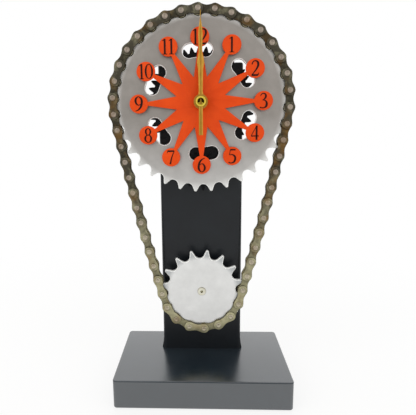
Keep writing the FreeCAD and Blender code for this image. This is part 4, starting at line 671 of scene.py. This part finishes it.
def copy_to(model, name, places):
    """One piece made of a copy of the model at each place, a place being a matrix. The model itself goes."""
    copies = []
    for place in places:
        twin = bpy.data.objects.new(name, model.data.copy())
        twin.data.transform(place)
        bpy.context.scene.collection.objects.link(twin)
        copies.append(twin)
    bpy.data.objects.remove(model)
    select_only(*copies)
    bpy.ops.object.join()
    joined = bpy.context.object
    joined.name = name
    return joined


def link_places(first, depth):
    """Where the front and back plates of every second link go."""
    for number in range(first, LINK_COUNT, 2):
        start = PINS[number]
        along = PINS[(number + 1) % LINK_COUNT] - start
        turn = Matrix.Rotation(-math.atan2(along.z, along.x), 4, "Y")
        for low in (-depth - PLATE_THICK, depth):
            yield Matrix.Translation(start + Vector((0, CHAIN_DEPTH + low, 0))) @ turn


def greased_steel():
    """Rollers under old grease: an olive brown that hides most of the metal, painted lighter to stand in for
    light that reaches them between the plates.
    """
    return finish("greased_rollers_painted_light", "chain_pin", GREASE_LIGHTENED_CLOUDS, None, CHAIN_GRAINS,
                  {"Metallic": GREASE_METALLIC, "Roughness": GREASE_ROUGHNESS})


def oiled_steel(name):
    """Chain steel with old oil on it: brown with rusty patches, paler low in the loop as a painted
    reflection of the white paper, and painted shade where the surface turns from the front."""
    slot_name, dark, light, roughness = CHAIN_LOOKS[name]
    material = finish(name, slot_name, None, None, CHAIN_GRAINS, {"Metallic": 1})
    tree = material.node_tree
    sockets = tree.nodes["Principled BSDF"].inputs
    place = add_node(tree, "ShaderNodeTexCoord", {})
    parts = add_node(tree, "ShaderNodeSeparateXYZ", {0: place.outputs["Object"]})
    # Paler low in the loop: a painted reflection of the white paper.
    reflection_share = add_node(tree, "ShaderNodeMapRange", {
        "Value": parts.outputs["Z"], "From Min": CHAIN_REFLECTION_ENDS_ABOVE, "From Max": CHAIN_REFLECTION_FULL_BELOW})
    blotch = add_node(tree, "ShaderNodeMath", {
        0: grain(tree, CHAIN_BLOTCH, CHAIN_DETAIL), 1: 0.5}, operation="SUBTRACT")
    share = add_node(tree, "ShaderNodeMath", {
        0: blotch.outputs[0], 1: CHAIN_CONTRAST, 2: reflection_share.outputs["Result"]}, operation="MULTIPLY_ADD",
        use_clamp=True)
    oil_and_reflection = add_node(tree, "ShaderNodeMix", {
        "Factor": share.outputs[0], "A": linear(dark), "B": linear(light)}, data_type="RGBA")
    patches = add_node(tree, "ShaderNodeMapRange", {
        "Value": grain(tree, RUST_PATCH, RUST_DETAIL), "From Min": RUST_FROM, "From Max": RUST_TO,
        "To Max": RUST_MOST})
    rusty = add_node(tree, "ShaderNodeMix", {
        "Factor": patches.outputs["Result"], "A": oil_and_reflection.outputs["Result"], "B": linear(CHAIN_RUST)},
        data_type="RGBA")
    # Painted shade where the surface turns from the front.
    shape = add_node(tree, "ShaderNodeNewGeometry", {})
    normal = add_node(tree, "ShaderNodeSeparateXYZ", {0: shape.outputs["Normal"]})
    facing = add_node(tree, "ShaderNodeMath", {0: normal.outputs["Y"]}, operation="ABSOLUTE")
    edge = add_node(tree, "ShaderNodeMapRange", {
        "Value": facing.outputs[0], "From Min": EDGE_SHADE_FROM, "From Max": EDGE_SHADE_TO})
    edge_shaded = add_node(tree, "ShaderNodeMix", {
        "Factor": edge.outputs["Result"], "A": rusty.outputs["Result"], "B": linear(CHAIN_PAINTED_EDGE_SHADE)},
        data_type="RGBA")
    tree.links.new(edge_shaded.outputs["Result"], sockets["Base Color"])
    haze = between(tree, grain(tree, CHAIN_HAZE, CHAIN_DETAIL), roughness,
                   roughness + CHAIN_ROUGHNESS_SPREAD)
    tree.links.new(haze, sockets["Roughness"])
    return material


def make_chain():
    """Outer and inner links in turn, with a riveted pin, a bushing and a roller at every joint."""
    outer_finish, inner_finish, pin_finish = (oiled_steel(name) for name in CHAIN_LOOKS)
    stand_for(copy_to(stamp_plate(), "outer_links", link_places(0, OUTER_PLATE)), "stand", outer_finish,
              "chain_outer_plates")
    stand_for(copy_to(stamp_plate(), "inner_links", link_places(1, INNER_PLATE)), "stand", inner_finish,
              "chain_inner_plates")
    joints = [Matrix.Translation(place + Vector((0, CHAIN_DEPTH, 0))) for place in PINS]
    half_pin = [(RIVET_RADIUS * share, depth - PIN_HALF)
                for share, depth in zip(RIVET_OUT_SHARES, RIVET_DEPTHS)]
    half_pin += [(RIVET_RADIUS, RIVET_THICK - PIN_HALF), (PIN_RADIUS, RIVET_THICK - PIN_HALF)]
    pin_profile = half_pin + [(radius, -depth) for radius, depth in reversed(half_pin)]
    pin = turn_on_lathe("pin", pin_profile, Vector(), PIN_STEPS)
    stand_for(copy_to(pin, "riveted_pins", joints), "stand", pin_finish, "chain_pins")
    side = ROLLER_RADIUS - ROLLER_EDGE
    end = ROLLER_HALF - ROLLER_EDGE
    roller_profile = [(BUSHING_RADIUS, -ROLLER_HALF), (side, -ROLLER_HALF), (ROLLER_RADIUS, -end),
                      (ROLLER_RADIUS, end), (side, ROLLER_HALF), (BUSHING_RADIUS, ROLLER_HALF)]
    roller = turn_on_lathe("roller", roller_profile, Vector(), PIN_STEPS)
    stand_for(copy_to(roller, "rollers", joints), "stand", greased_steel(), "chain_rollers")
    dress(inner_finish, "chain_bushings")


make_chain()


# Screws
# Zinc-plated pan-head screws with a cross recess. Four hold the foot's bracket down to the base, three hold
# the drive gear on the large sprocket and two hold the motor's clamp.
SCREW_MILLIMETRES = {
    "foot_screws": {"shank": 2, "head": 3.8, "thick": 2.4},
    "gear_screws": {"shank": 1.5, "head": 2.75, "thick": 2},
    "clamp_screws": {"shank": 1, "head": 1.9, "thick": 1.4},
}
HEAD_SIDE_SHARE = 0.5
HEAD_SHOULDER_SHARES = (0.9, 0.84)
HEAD_TOP_SHARE = 0.66
RECESS_LONG_SHARE = 1.15
RECESS_WIDE_SHARE = 0.28
RECESS_DEEP_SHARE = 0.6
GROUP_SLACK = 0.2 * MM


def turn_screw(name, shank, head, thick, long):
    """A screw from front to back, with its head at the back and a cross recess sunk into it."""
    neck = long - thick
    wide, high = HEAD_SHOULDER_SHARES
    profile = [(0, 0), (shank, 0), (shank, neck), (head, neck), (head, neck + thick * HEAD_SIDE_SHARE),
               (head * wide, neck + thick * high), (head * HEAD_TOP_SHARE, long), (0, long)]
    screw = turn_on_lathe(name, profile, Vector())
    for turn in (0, math.pi / 2):
        bpy.ops.object.select_all(action="DESELECT")
        bpy.ops.mesh.primitive_cube_add(size=1, location=(0, long, 0), rotation=(0, turn, 0),
                                        scale=(head * RECESS_LONG_SHARE, 2 * thick * RECESS_DEEP_SHARE,
                                               head * RECESS_WIDE_SHARE))
        bar = bpy.context.object
        bpy.context.view_layer.objects.active = screw
        bpy.ops.object.modifier_add(type="BOOLEAN")
        recess = screw.modifiers[-1]
        recess.operation = "DIFFERENCE"
        recess.object = bar
        bpy.ops.object.modifier_apply(modifier=recess.name)
        bpy.data.objects.remove(bar)
    return screw


def make_screws(name, axis):
    """One screw of the CAD screws' size, copied to the place of each. The axis is 1 for back and 2 for up.
    The CAD screws are one mesh, so their corners are first sorted into one group for each screw."""
    shank, head, thick = (size * MM for size in SCREW_MILLIMETRES[name].values())
    low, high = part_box(name)
    rows = []
    for corner in nodes[name].data.vertices:
        flat = corner.co.copy()
        flat[axis] = low[axis]
        near = [row for row in rows if (row[0] - flat).length < 2 * head + GROUP_SLACK]
        if near:
            near[0].append(flat)
        else:
            rows.append([flat])
    places = []
    for row in rows:
        middle = sum(row, Vector()) / len(row)
        places.append(Matrix.Translation(middle) @ Matrix.Rotation(math.pi / 2 * (axis - 1), 4, "X"))
    screws = copy_to(turn_screw("cross_recess", shank, head, thick, high[axis] - low[axis]),
                     "cross_recess_" + name, places)
    leave_smooth(screws)
    stand_for(screws, body_of(nodes[name])[0], plated_screw, name)


make_screws("foot_screws", 2)
make_screws("gear_screws", 1)
make_screws("clamp_screws", 1)


# Star dial and numerals
# One sheet of metal, cut as a star with a disc at the end of each arm and sprayed with orange enamel. The
# numbers are printed in black. A washer and a nut on the movement's threaded bush hold the dial.
STAR_CLOUDS = 12 * MM, "#d9480e", "#d0410c"
STAR_HAZE = 4 * MM, 0.42, 0.5
STAR_SHEEN = 0.12
STAR_EDGE = 0.25 * MM
SHARP_OVER = math.radians(30)
FLAT_WITHIN = math.radians(1)
INK_CLOUDS = 1 * MM, "#2a0f0c", "#1f0d0a"
INK_ROUGHNESS = 0.6
BRASS_CLOUD = 5 * MM
BRASS_HAZE = 1 * MM
BRASS_ROUGHNESS_SPREAD = 0.08
BRASS_GRAINS = 0.5 * MM, 0.004 * MM
# Each brass's slot, its two colours and its roughness.
BRASS_LOOKS = {
    "turned_brass_nut": ("nut_brass", "#c69a3c", "#b58a32", 0.25),
    "turned_brass_collar": ("axle_brass", "#b58d4a", "#a27d3f", 0.25),
    "nickel_plated_axle": ("pale_brass", "#e2e0d0", "#d6d3c0", 0.4),
}
HOURS = 12
NUMERAL_HIGH = 11.4 * MM
NUMERAL_SPREAD = 1.1
NUMERAL_WEIGHT = 1.2
NUMERAL_THICK = 0.15 * MM
CURVE_STEPS = 5
OVAL_STEPS = 20
STAR_RING = 48.07 * MM
STAR_TURN = math.radians(0.6)


def orange_enamel():
    """Orange enamel, sprayed: a strong even colour with a soft sheen."""
    return finish("sprayed_orange_enamel", "star_orange", STAR_CLOUDS, STAR_HAZE, None,
                  {"Specular IOR Level": STAR_SHEEN})


def printing_ink():
    """Black printing ink: thin, dense and nearly matt."""
    return finish("printed_black_ink", "numeral_black", INK_CLOUDS, None, None,
                  {"Roughness": INK_ROUGHNESS, "Specular IOR Level": STAR_SHEEN})


def turned_brass(name, looks):
    """Brass, turned or stamped and polished: warm gold with faint darker clouds."""
    slot_name, one, other, roughness = looks[name]
    return finish(name, slot_name, (BRASS_CLOUD, one, other),
                  (BRASS_HAZE, roughness, roughness + BRASS_ROUGHNESS_SPREAD), BRASS_GRAINS, {"Metallic": 1})


def round_edges(name, piece_name, edge, material):
    """A copy with its corners merged and its sharp edges rubbed round stands for a CAD node of the stand."""
    piece = nodes[name].copy()
    piece.data = nodes[name].data.copy()
    piece.name = piece_name
    bpy.context.scene.collection.objects.link(piece)
    select_only(piece)
    bpy.ops.object.mode_set(mode="EDIT")
    bpy.ops.mesh.select_all(action="SELECT")
    bpy.ops.mesh.remove_doubles(threshold=MERGE_WITHIN)
    bpy.ops.mesh.dissolve_limited(angle_limit=FLAT_WITHIN)
    bpy.ops.mesh.select_all(action="DESELECT")
    bpy.ops.mesh.edges_select_sharp(sharpness=SHARP_OVER)
    bpy.ops.mesh.bevel(offset=edge, segments=2, affect="EDGES", clamp_overlap=True)
    leave_smooth(piece)
    stand_for(piece, "stand", material, name)


def cut_from_sheet(name, corners, faces, thick):
    """A piece from the flat faces of its back, given its thickness towards the front."""
    piece = draw(name, corners, [], faces)
    bpy.ops.mesh.extrude_region_move(TRANSFORM_OT_translate={"value": (0, -thick, 0)})
    bpy.ops.mesh.select_all(action="SELECT")
    bpy.ops.mesh.normals_make_consistent(inside=False)
    return piece


# The numerals' strokes, one list of places for each: across, up and half the stroke's width, as shares of
# the numeral's height. An oval has its middle, half its width and height, and half its stroke's width at its
# side and end.
SIX_SHARES = [(0.46, 0.97, 0.015), (0.28, 0.88, 0.035), (0.13, 0.68, 0.055), (0.07, 0.42, 0.06),
              (0.09, 0.18, 0.055), (0.22, 0.03, 0.025), (0.32, 0.03, 0.025), (0.43, 0.16, 0.05),
              (0.45, 0.34, 0.055), (0.38, 0.52, 0.04), (0.26, 0.58, 0.022), (0.12, 0.5, 0.018)]
STROKE_SHARES = {
    "1": [[(0.2, 0.02, 0.05), (0.2, 0.98, 0.05)], [(0.06, 0.86, 0.018), (0.2, 0.96, 0.022)],
          [(0.06, 0.02, 0.018), (0.34, 0.02, 0.018)]],
    "2": [[(0.06, 0.74, 0.03), (0.12, 0.9, 0.03), (0.26, 0.97, 0.032), (0.4, 0.88, 0.05), (0.43, 0.7, 0.058),
           (0.36, 0.5, 0.045), (0.2, 0.25, 0.028), (0.05, 0.07, 0.02)],
          [(0.04, 0.05, 0.048), (0.42, 0.05, 0.048)], [(0.42, 0.04, 0.024), (0.47, 0.2, 0.014)]],
    "3": [[(0.07, 0.8, 0.02), (0.14, 0.93, 0.026), (0.27, 0.97, 0.03), (0.38, 0.88, 0.046),
           (0.38, 0.72, 0.05), (0.3, 0.6, 0.03), (0.2, 0.54, 0.018)],
          [(0.2, 0.54, 0.018), (0.36, 0.5, 0.03), (0.45, 0.34, 0.055), (0.42, 0.14, 0.055),
           (0.28, 0.03, 0.03), (0.12, 0.03, 0.03), (0.05, 0.08, 0.04)]],
    "4": [[(0.36, 0.97, 0.018), (0.03, 0.3, 0.018)], [(0.03, 0.28, 0.03), (0.5, 0.28, 0.03)],
          [(0.36, 0.97, 0.05), (0.36, 0.02, 0.05)]],
    "5": [[(0.14, 0.93, 0.04), (0.46, 0.93, 0.04)], [(0.14, 0.93, 0.018), (0.09, 0.58, 0.018)],
          [(0.09, 0.58, 0.018), (0.25, 0.6, 0.03), (0.4, 0.5, 0.05), (0.45, 0.32, 0.055), (0.38, 0.12, 0.05),
           (0.24, 0.03, 0.03), (0.1, 0.04, 0.03), (0.05, 0.09, 0.04)]],
    "6": [SIX_SHARES],
    "7": [[(0.04, 0.93, 0.045), (0.46, 0.93, 0.045)], [(0.04, 0.93, 0.018), (0.02, 0.8, 0.016)],
          [(0.46, 0.93, 0.02), (0.3, 0.5, 0.03), (0.2, 0.03, 0.045)]],
    "9": [[(0.52 - across, 1 - up, half) for across, up, half in SIX_SHARES]],
}
OVAL_SHARES = {
    "0": [(0.25, 0.5, 0.2, 0.465, 0.052, 0.018)],
    "8": [(0.26, 0.74, 0.145, 0.22, 0.048, 0.02), (0.26, 0.27, 0.19, 0.25, 0.052, 0.02)],
}
WIDE_SHARES = {"1": 0.44}
USUAL_WIDE_SHARE = 0.57


def smoothed(places):
    """A stroke's places with a smooth curve through them. A stroke of two places stays straight."""
    if len(places) < 3:
        return places
    corners = [Vector(place) for place in (places[0], *places, places[-1])]
    curve = []
    for before, start, end, after in zip(corners, corners[1:], corners[2:], corners[3:]):
        for step in range(CURVE_STEPS):
            share = step / CURVE_STEPS
            pull = (end - before) * share * (1 - share) ** 2 / 2
            pull -= (after - start) * share ** 2 * (1 - share) / 2
            curve.append(start.lerp(end, share ** 2 * (3 - 2 * share)) + pull)
    return curve + [corners[-1]]


def oval_stroke(middle, up, half_wide, half_high, side, end):
    """A closed oval stroke, thick at its sides and thin at its ends."""
    for step in range(OVAL_STEPS + 1):
        angle = math.tau * step / OVAL_STEPS
        half = end + (side - end) * math.cos(angle) ** 2
        yield middle + half_wide * math.cos(angle), up + half_high * math.sin(angle), half


def ink_strokes(digit, left):
    """The corners of each stroke of a digit, in pairs across it, from the digit's lower left corner out."""
    strokes = [smoothed(places) for places in STROKE_SHARES.get(digit, [])]
    strokes += [list(oval_stroke(*oval)) for oval in OVAL_SHARES.get(digit, [])]
    for places in strokes:
        pairs = []
        for number, (across, up, half) in enumerate(places):
            ahead = places[min(number + 1, len(places) - 1)]
            behind = places[max(number - 1, 0)]
            along = Vector((ahead[0] - behind[0], 0, ahead[1] - behind[1])).normalized()
            side = Vector((-along.z, 0, along.x)) * half * NUMERAL_WEIGHT
            middle = Vector((across * NUMERAL_SPREAD, 0, up))
            pairs += [left + (middle + side) * NUMERAL_HIGH, left + (middle - side) * NUMERAL_HIGH]
        yield pairs


def make_numerals():
    """The numbers 1 to 12, upright on their discs, printed as one thin layer of ink."""
    low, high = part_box("dial_numerals")
    corners = []
    faces = []
    for hour in range(1, HOURS + 1):
        middle = round_place(dial_place, STAR_RING, math.pi / 2 + STAR_TURN - hour * math.tau / HOURS)
        middle.y = high.y
        wides = [WIDE_SHARES.get(digit, USUAL_WIDE_SHARE) * NUMERAL_HIGH for digit in str(hour)]
        left = middle - Vector((sum(wides), 0, NUMERAL_HIGH)) / 2
        for digit, wide in zip(str(hour), wides):
            for pairs in ink_strokes(digit, left):
                first = len(corners)
                corners += pairs
                faces += [(start, start + 1, start + 3, start + 2)
                          for start in range(first, first + len(pairs) - 2, 2)]
            left = left + Vector((wide, 0, 0))
    layer = cut_from_sheet("printed_numerals", corners, faces, NUMERAL_THICK)
    leave_smooth(layer)
    stand_for(layer, "stand", printing_ink(), "dial_numerals")


round_edges("star_dial", "enamelled_star", STAR_EDGE, orange_enamel())
make_numerals()
nut_brass = turned_brass("turned_brass_nut", BRASS_LOOKS)
dress(nut_brass, "dial_washer", "dial_nut", "minute_arbor", "motor_gearbox", "second_arbor")
dress(turned_brass("turned_brass_collar", BRASS_LOOKS), "front_collar")
dress(turned_brass("nickel_plated_axle", BRASS_LOOKS), "idler_axle")


# Hands
# Stamped brass blades with their long edges pressed down, so the edges shine, riveted on turned hubs. Two
# hubs are flat rings. The second hand's is a cup, with a painted highlight at its rim and low down inside,
# and painted shade in the rest of it.
PRESS_DEEP = 0.45 * MM
BLADE_SMOOTH_UNDER = 8
BLADE_THICK = 0.25 * MM
# Across a blade: shares of half its width, and of the height to which its middle rises.
BLADE_SHARES = (-1, 0), (-0.4, 1), (0.4, 1), (1, 0)
HUB_EDGE = 0.25 * MM
HUB_STEPS = 40
# Each hand's hub and bore as radii, its thickness, and its blade as heights with half the width there.
HAND_MILLIMETRES = {
    "hour_hand": {"hub": 4.9, "bore": 2.5, "thick": 1.6,
                  "blade": [(3.6, 1.9), (8, 1.45), (24, 1.9), (28.5, 2.75), (32, 2.2), (39.8, 0.2)]},
    "minute_hand": {"hub": 5.4, "bore": 1.65, "thick": 1.6,
                    "blade": [(4, 2.2), (7.5, 1.35), (40, 1.3), (48, 1.6), (52, 1.3), (60.3, 0.15)]},
    "second_hand": {"hub": 3.8, "bore": 0.6, "thick": 1.5,
                    "blade": [(-25, 1.6), (-3, 1.4), (3, 0.6), (6, 0.4), (40, 0.35), (64.4, 0.25)]},
}
CUP_STEP = 1.3 * MM
CUP_BORE = 1.9 * MM
CUP_MOUTH = 2.5 * MM
CUP_FLOOR = 0.5 * MM
# Below this, the cup's inside takes the painted highlight.
CUP_HIGHLIGHT_BELOW = 1 * MM
HAND_LOOKS = {
    "polished_brass_hand": ("hand_brass", "#b68b3c", "#a67c30", 0.32),
    # The cup's painted highlight and painted shade.
    "brass_cup_painted_highlight": ("hand_brass", "#f6e064", "#ecd252", 0.3),
    "brass_cup_painted_shade": ("hand_brass", "#3a2608", "#2a1c06", 0.5),
}


def pressed_blade(name, stations, back):
    """A thin blade along its stations, with both its edges pressed down."""
    corners = []
    for height, half in stations:
        rise = PRESS_DEEP * min(1, half)
        for share, raised in BLADE_SHARES:
            across = dial_place.x + share * half * MM
            corners.append((across, back - raised * rise, dial_place.z + height * MM))
    count = len(BLADE_SHARES)
    faces = []
    for row in range(0, len(corners) - count, count):
        faces += [(first, first + 1, first + count + 1, first + count)
                  for first in range(row, row + count - 1)]
    blade = cut_from_sheet(name, corners, faces, BLADE_THICK)
    leave_smooth(blade, BLADE_SMOOTH_UNDER)
    return blade


def turn_hub(name, centre, radius, thick, inside):
    """A hub with its outer corners taken off. The inside of its profile runs from the back to the front."""
    (bore, _), (mouth, _) = inside[0], inside[-1]
    profile = [(bore, 0), (radius - HUB_EDGE, 0), (radius, -HUB_EDGE), (radius, HUB_EDGE - thick),
               (radius - HUB_EDGE, -thick), (mouth + HUB_EDGE, -thick), *reversed(inside), (bore, 0)]
    return turn_on_lathe(name, profile, centre, HUB_STEPS)


def burnish_cup(hand, centre, radius, bore):
    """Paint a highlight on the cup's rim and the low part of its inside, and shade on the rest of it."""
    hand.data.materials.append(turned_brass("brass_cup_painted_highlight", HAND_LOOKS))
    hand.data.materials.append(turned_brass("brass_cup_painted_shade", HAND_LOOKS))
    for face in hand.data.polygons:
        away = face.center - centre
        out = math.hypot(away.x, away.z)
        # Painted highlight on the rim and low inside, painted shade elsewhere in the cup.
        highlight_from = CUP_STEP if away.z < -CUP_HIGHLIGHT_BELOW else CUP_MOUTH
        if highlight_from < out < radius:
            face.material_index = 1
        elif bore < out < CUP_MOUTH:
            face.material_index = 2


def make_hands():
    """Each hand as one piece: its blade joined to its hub."""
    polished = turned_brass("polished_brass_hand", HAND_LOOKS)
    for name, hand in HAND_MILLIMETRES.items():
        low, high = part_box(name)
        radius, bore, thick = (hand[size] * MM for size in ("hub", "bore", "thick"))
        centre = Vector((dial_place.x, high.y, dial_place.z))
        has_cup = name == "second_hand"
        inside = [(bore, HUB_EDGE - thick)]
        back = high.y - thick / 2
        if has_cup:
            inside = [(bore, -CUP_FLOOR), (CUP_STEP, -CUP_FLOOR), (CUP_BORE, -CUP_FLOOR),
                      (CUP_MOUTH, HUB_EDGE - thick)]
            back = high.y
        hub = turn_hub(name + "_hub", centre, radius, thick, inside)
        blade = pressed_blade("pressed_" + name, hand["blade"], back)
        select_only(blade, hub)
        bpy.ops.object.join()
        stand_for(blade, body_of(nodes[name])[0], polished, name)
        if has_cup:
            burnish_cup(blade, centre, radius, bore)


make_hands()


# Movement
# A plain quartz movement: a black moulded case, wheels of white acetal, a copper coil on an iron stator, a
# small circuit board, and a round cell between two nickel contacts.
CELL_DARK_TONES = "#262a30", "#30353c"
CELL_DARK_CLOUD = 6 * MM
CELL_SILVER_TONES = "#b0b5b8", "#a2a7aa"
CELL_SILVER_CLOUD = 3 * MM
CELL_BARE = "#c9cacb"
CELL_HAZE = 1 * MM, 0.28, 0.36
CELL_BAND = 15 * MM
CELL_END = 1.6 * MM
CELL_EDGE = 0.4 * MM
CASE_EDGE = 0.5 * MM
PLASTIC_CLOUD = 8 * MM
PLASTIC_HAZE = 2 * MM
PLASTIC_GRAINS = 0.35 * MM, 0.01 * MM
METAL_CLOUD = 2 * MM
METAL_HAZE = 1 * MM
HAZE_SPREAD = 0.08
# Each finish's slot, its two colours and its roughness.
MOVEMENT_LOOKS = {
    "moulded_black_abs": ("movement_plastic", "#1d1d1f", "#232326", 0.5),
    "moulded_gasket_rubber": ("gasket_rubber", "#202022", "#29292b", 0.75),
    "moulded_acetal": ("wheel_plastic", "#d9d4c6", "#e2ddd0", 0.35),
    "moulded_bobbin": ("bobbin_plastic", "#e6e1d2", "#dcd6c5", 0.4),
    "enamelled_copper_wire": ("coil_copper", "#a4502a", "#8a3f20", 0.3),
    "stamped_iron": ("stator_iron", "#7c7f82", "#8d9093", 0.38),
    "solder_mask_laminate": ("board_laminate", "#2d5a3a", "#356744", 0.4),
    "nickel_plate": ("contact_metal", "#c9cacb", "#bcbdbe", 0.2),
}


def moulded_plastic(name, looks):
    """Moulded plastic: one even colour with a fine tooth from the mould."""
    slot_name, one, other, roughness = looks[name]
    return finish(name, slot_name, (PLASTIC_CLOUD, one, other),
                  (PLASTIC_HAZE, roughness, roughness + HAZE_SPREAD), PLASTIC_GRAINS, {})


def bare_metal(name, looks):
    """Bare or plated metal: one colour with a faint cloud."""
    slot_name, one, other, roughness = looks[name]
    return finish(name, slot_name, (METAL_CLOUD, one, other),
                  (METAL_HAZE, roughness, roughness + HAZE_SPREAD), None, {"Metallic": 1})


def printed_cell(name, low, high, axis):
    """A round cell: a thin printed sleeve, dark with a silver band at the plus end, and bare plated ends."""
    material = finish(name, "cell_sleeve", None, CELL_HAZE, None, {})
    tree = material.node_tree
    sockets = tree.nodes["Principled BSDF"].inputs
    place = add_node(tree, "ShaderNodeTexCoord", {})
    parts = add_node(tree, "ShaderNodeSeparateXYZ", {0: place.outputs["Object"]})
    along = parts.outputs[axis]
    banded = add_node(tree, "ShaderNodeMath", {0: along, 1: high - CELL_BAND}, operation="GREATER_THAN")
    dark = two_tone(tree, grain(tree, CELL_DARK_CLOUD), *CELL_DARK_TONES)
    silver = two_tone(tree, grain(tree, CELL_SILVER_CLOUD), *CELL_SILVER_TONES)
    sleeve = add_node(tree, "ShaderNodeMix", {
        "Factor": banded.outputs[0], "A": dark, "B": silver}, data_type="RGBA")
    out = add_node(tree, "ShaderNodeMath", {0: along, 1: (low + high) / 2}, operation="SUBTRACT")
    far = add_node(tree, "ShaderNodeMath", {0: out.outputs[0]}, operation="ABSOLUTE")
    bare = add_node(tree, "ShaderNodeMath", {
        0: far.outputs[0], 1: (high - low) / 2 - CELL_END}, operation="GREATER_THAN")
    colour = add_node(tree, "ShaderNodeMix", {
        "Factor": bare.outputs[0], "A": sleeve.outputs["Result"], "B": linear(CELL_BARE)},
        data_type="RGBA")
    tree.links.new(colour.outputs["Result"], sockets["Base Color"])
    metal = add_node(tree, "ShaderNodeMath", {0: bare.outputs[0], 1: banded.outputs[0]}, operation="MAXIMUM")
    tree.links.new(metal.outputs[0], sockets["Metallic"])
    return material


abs_plastic = moulded_plastic("moulded_black_abs", MOVEMENT_LOOKS)
dress(abs_plastic, "movement_cover", "setting_knob")
round_edges("movement_case", "rounded_movement_case", CASE_EDGE, abs_plastic)
dress(moulded_plastic("moulded_gasket_rubber", MOVEMENT_LOOKS), "movement_gasket")
dress(moulded_plastic("moulded_acetal", MOVEMENT_LOOKS),
      "hour_wheel", "centre_wheel", "third_wheel", "step_wheel", "motion_wheel")
dress(moulded_plastic("moulded_bobbin", MOVEMENT_LOOKS), "coil_bobbin")
dress(bare_metal("enamelled_copper_wire", MOVEMENT_LOOKS), "coil_winding")
dress(bare_metal("stamped_iron", MOVEMENT_LOOKS), "stator", "rotor")
dress(moulded_plastic("solder_mask_laminate", MOVEMENT_LOOKS), "circuit_board")
dress(bare_metal("nickel_plate", MOVEMENT_LOOKS), "cell_contacts", "cell_springs")
cell_low, cell_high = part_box("movement_cell")
round_edges("movement_cell", "shrink_sleeved_cell", CELL_EDGE,
            printed_cell("printed_cell_sleeve", cell_low.x, cell_high.x, "X"))


# Gear motor, battery holder and switch
# A small gear motor with a drawn steel can in a white moulded clamp, a black moulded holder with two round
# cells, and a slide switch with a grey slider.
MOULDED_EDGE = 0.4 * MM
MOTOR_LOOKS = {
    "drawn_motor_can": ("motor_steel", "#b3b5b6", "#a5a7a8", 0.25),
    "moulded_white_nylon": ("motor_plastic", "#e8e4da", "#dfdad0", 0.45),
    "moulded_black_holder": ("holder_plastic", "#1f2022", "#27282a", 0.45),
    "moulded_grey_slider": ("slider_plastic", "#d8d8d4", "#cfcfca", 0.4),
}

dress(bare_metal("drawn_motor_can", MOTOR_LOOKS), "motor_can", "output_shaft")
nylon = moulded_plastic("moulded_white_nylon", MOTOR_LOOKS)
dress(nylon, "motor_end_cap")
round_edges("motor_clamp", "rounded_motor_clamp", MOULDED_EDGE, nylon)
holder_plastic = moulded_plastic("moulded_black_holder", MOTOR_LOOKS)
dress(holder_plastic, "switch_body")
round_edges("battery_holder", "rounded_battery_holder", MOULDED_EDGE, holder_plastic)
cell_low, cell_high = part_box("motor_cells")
round_edges("motor_cells", "shrink_sleeved_motor_cells", CELL_EDGE,
            printed_cell("printed_motor_cell_sleeve", cell_low.z, cell_high.z, "Z"))
dress(moulded_plastic("moulded_grey_slider", MOTOR_LOOKS), "switch_slider")
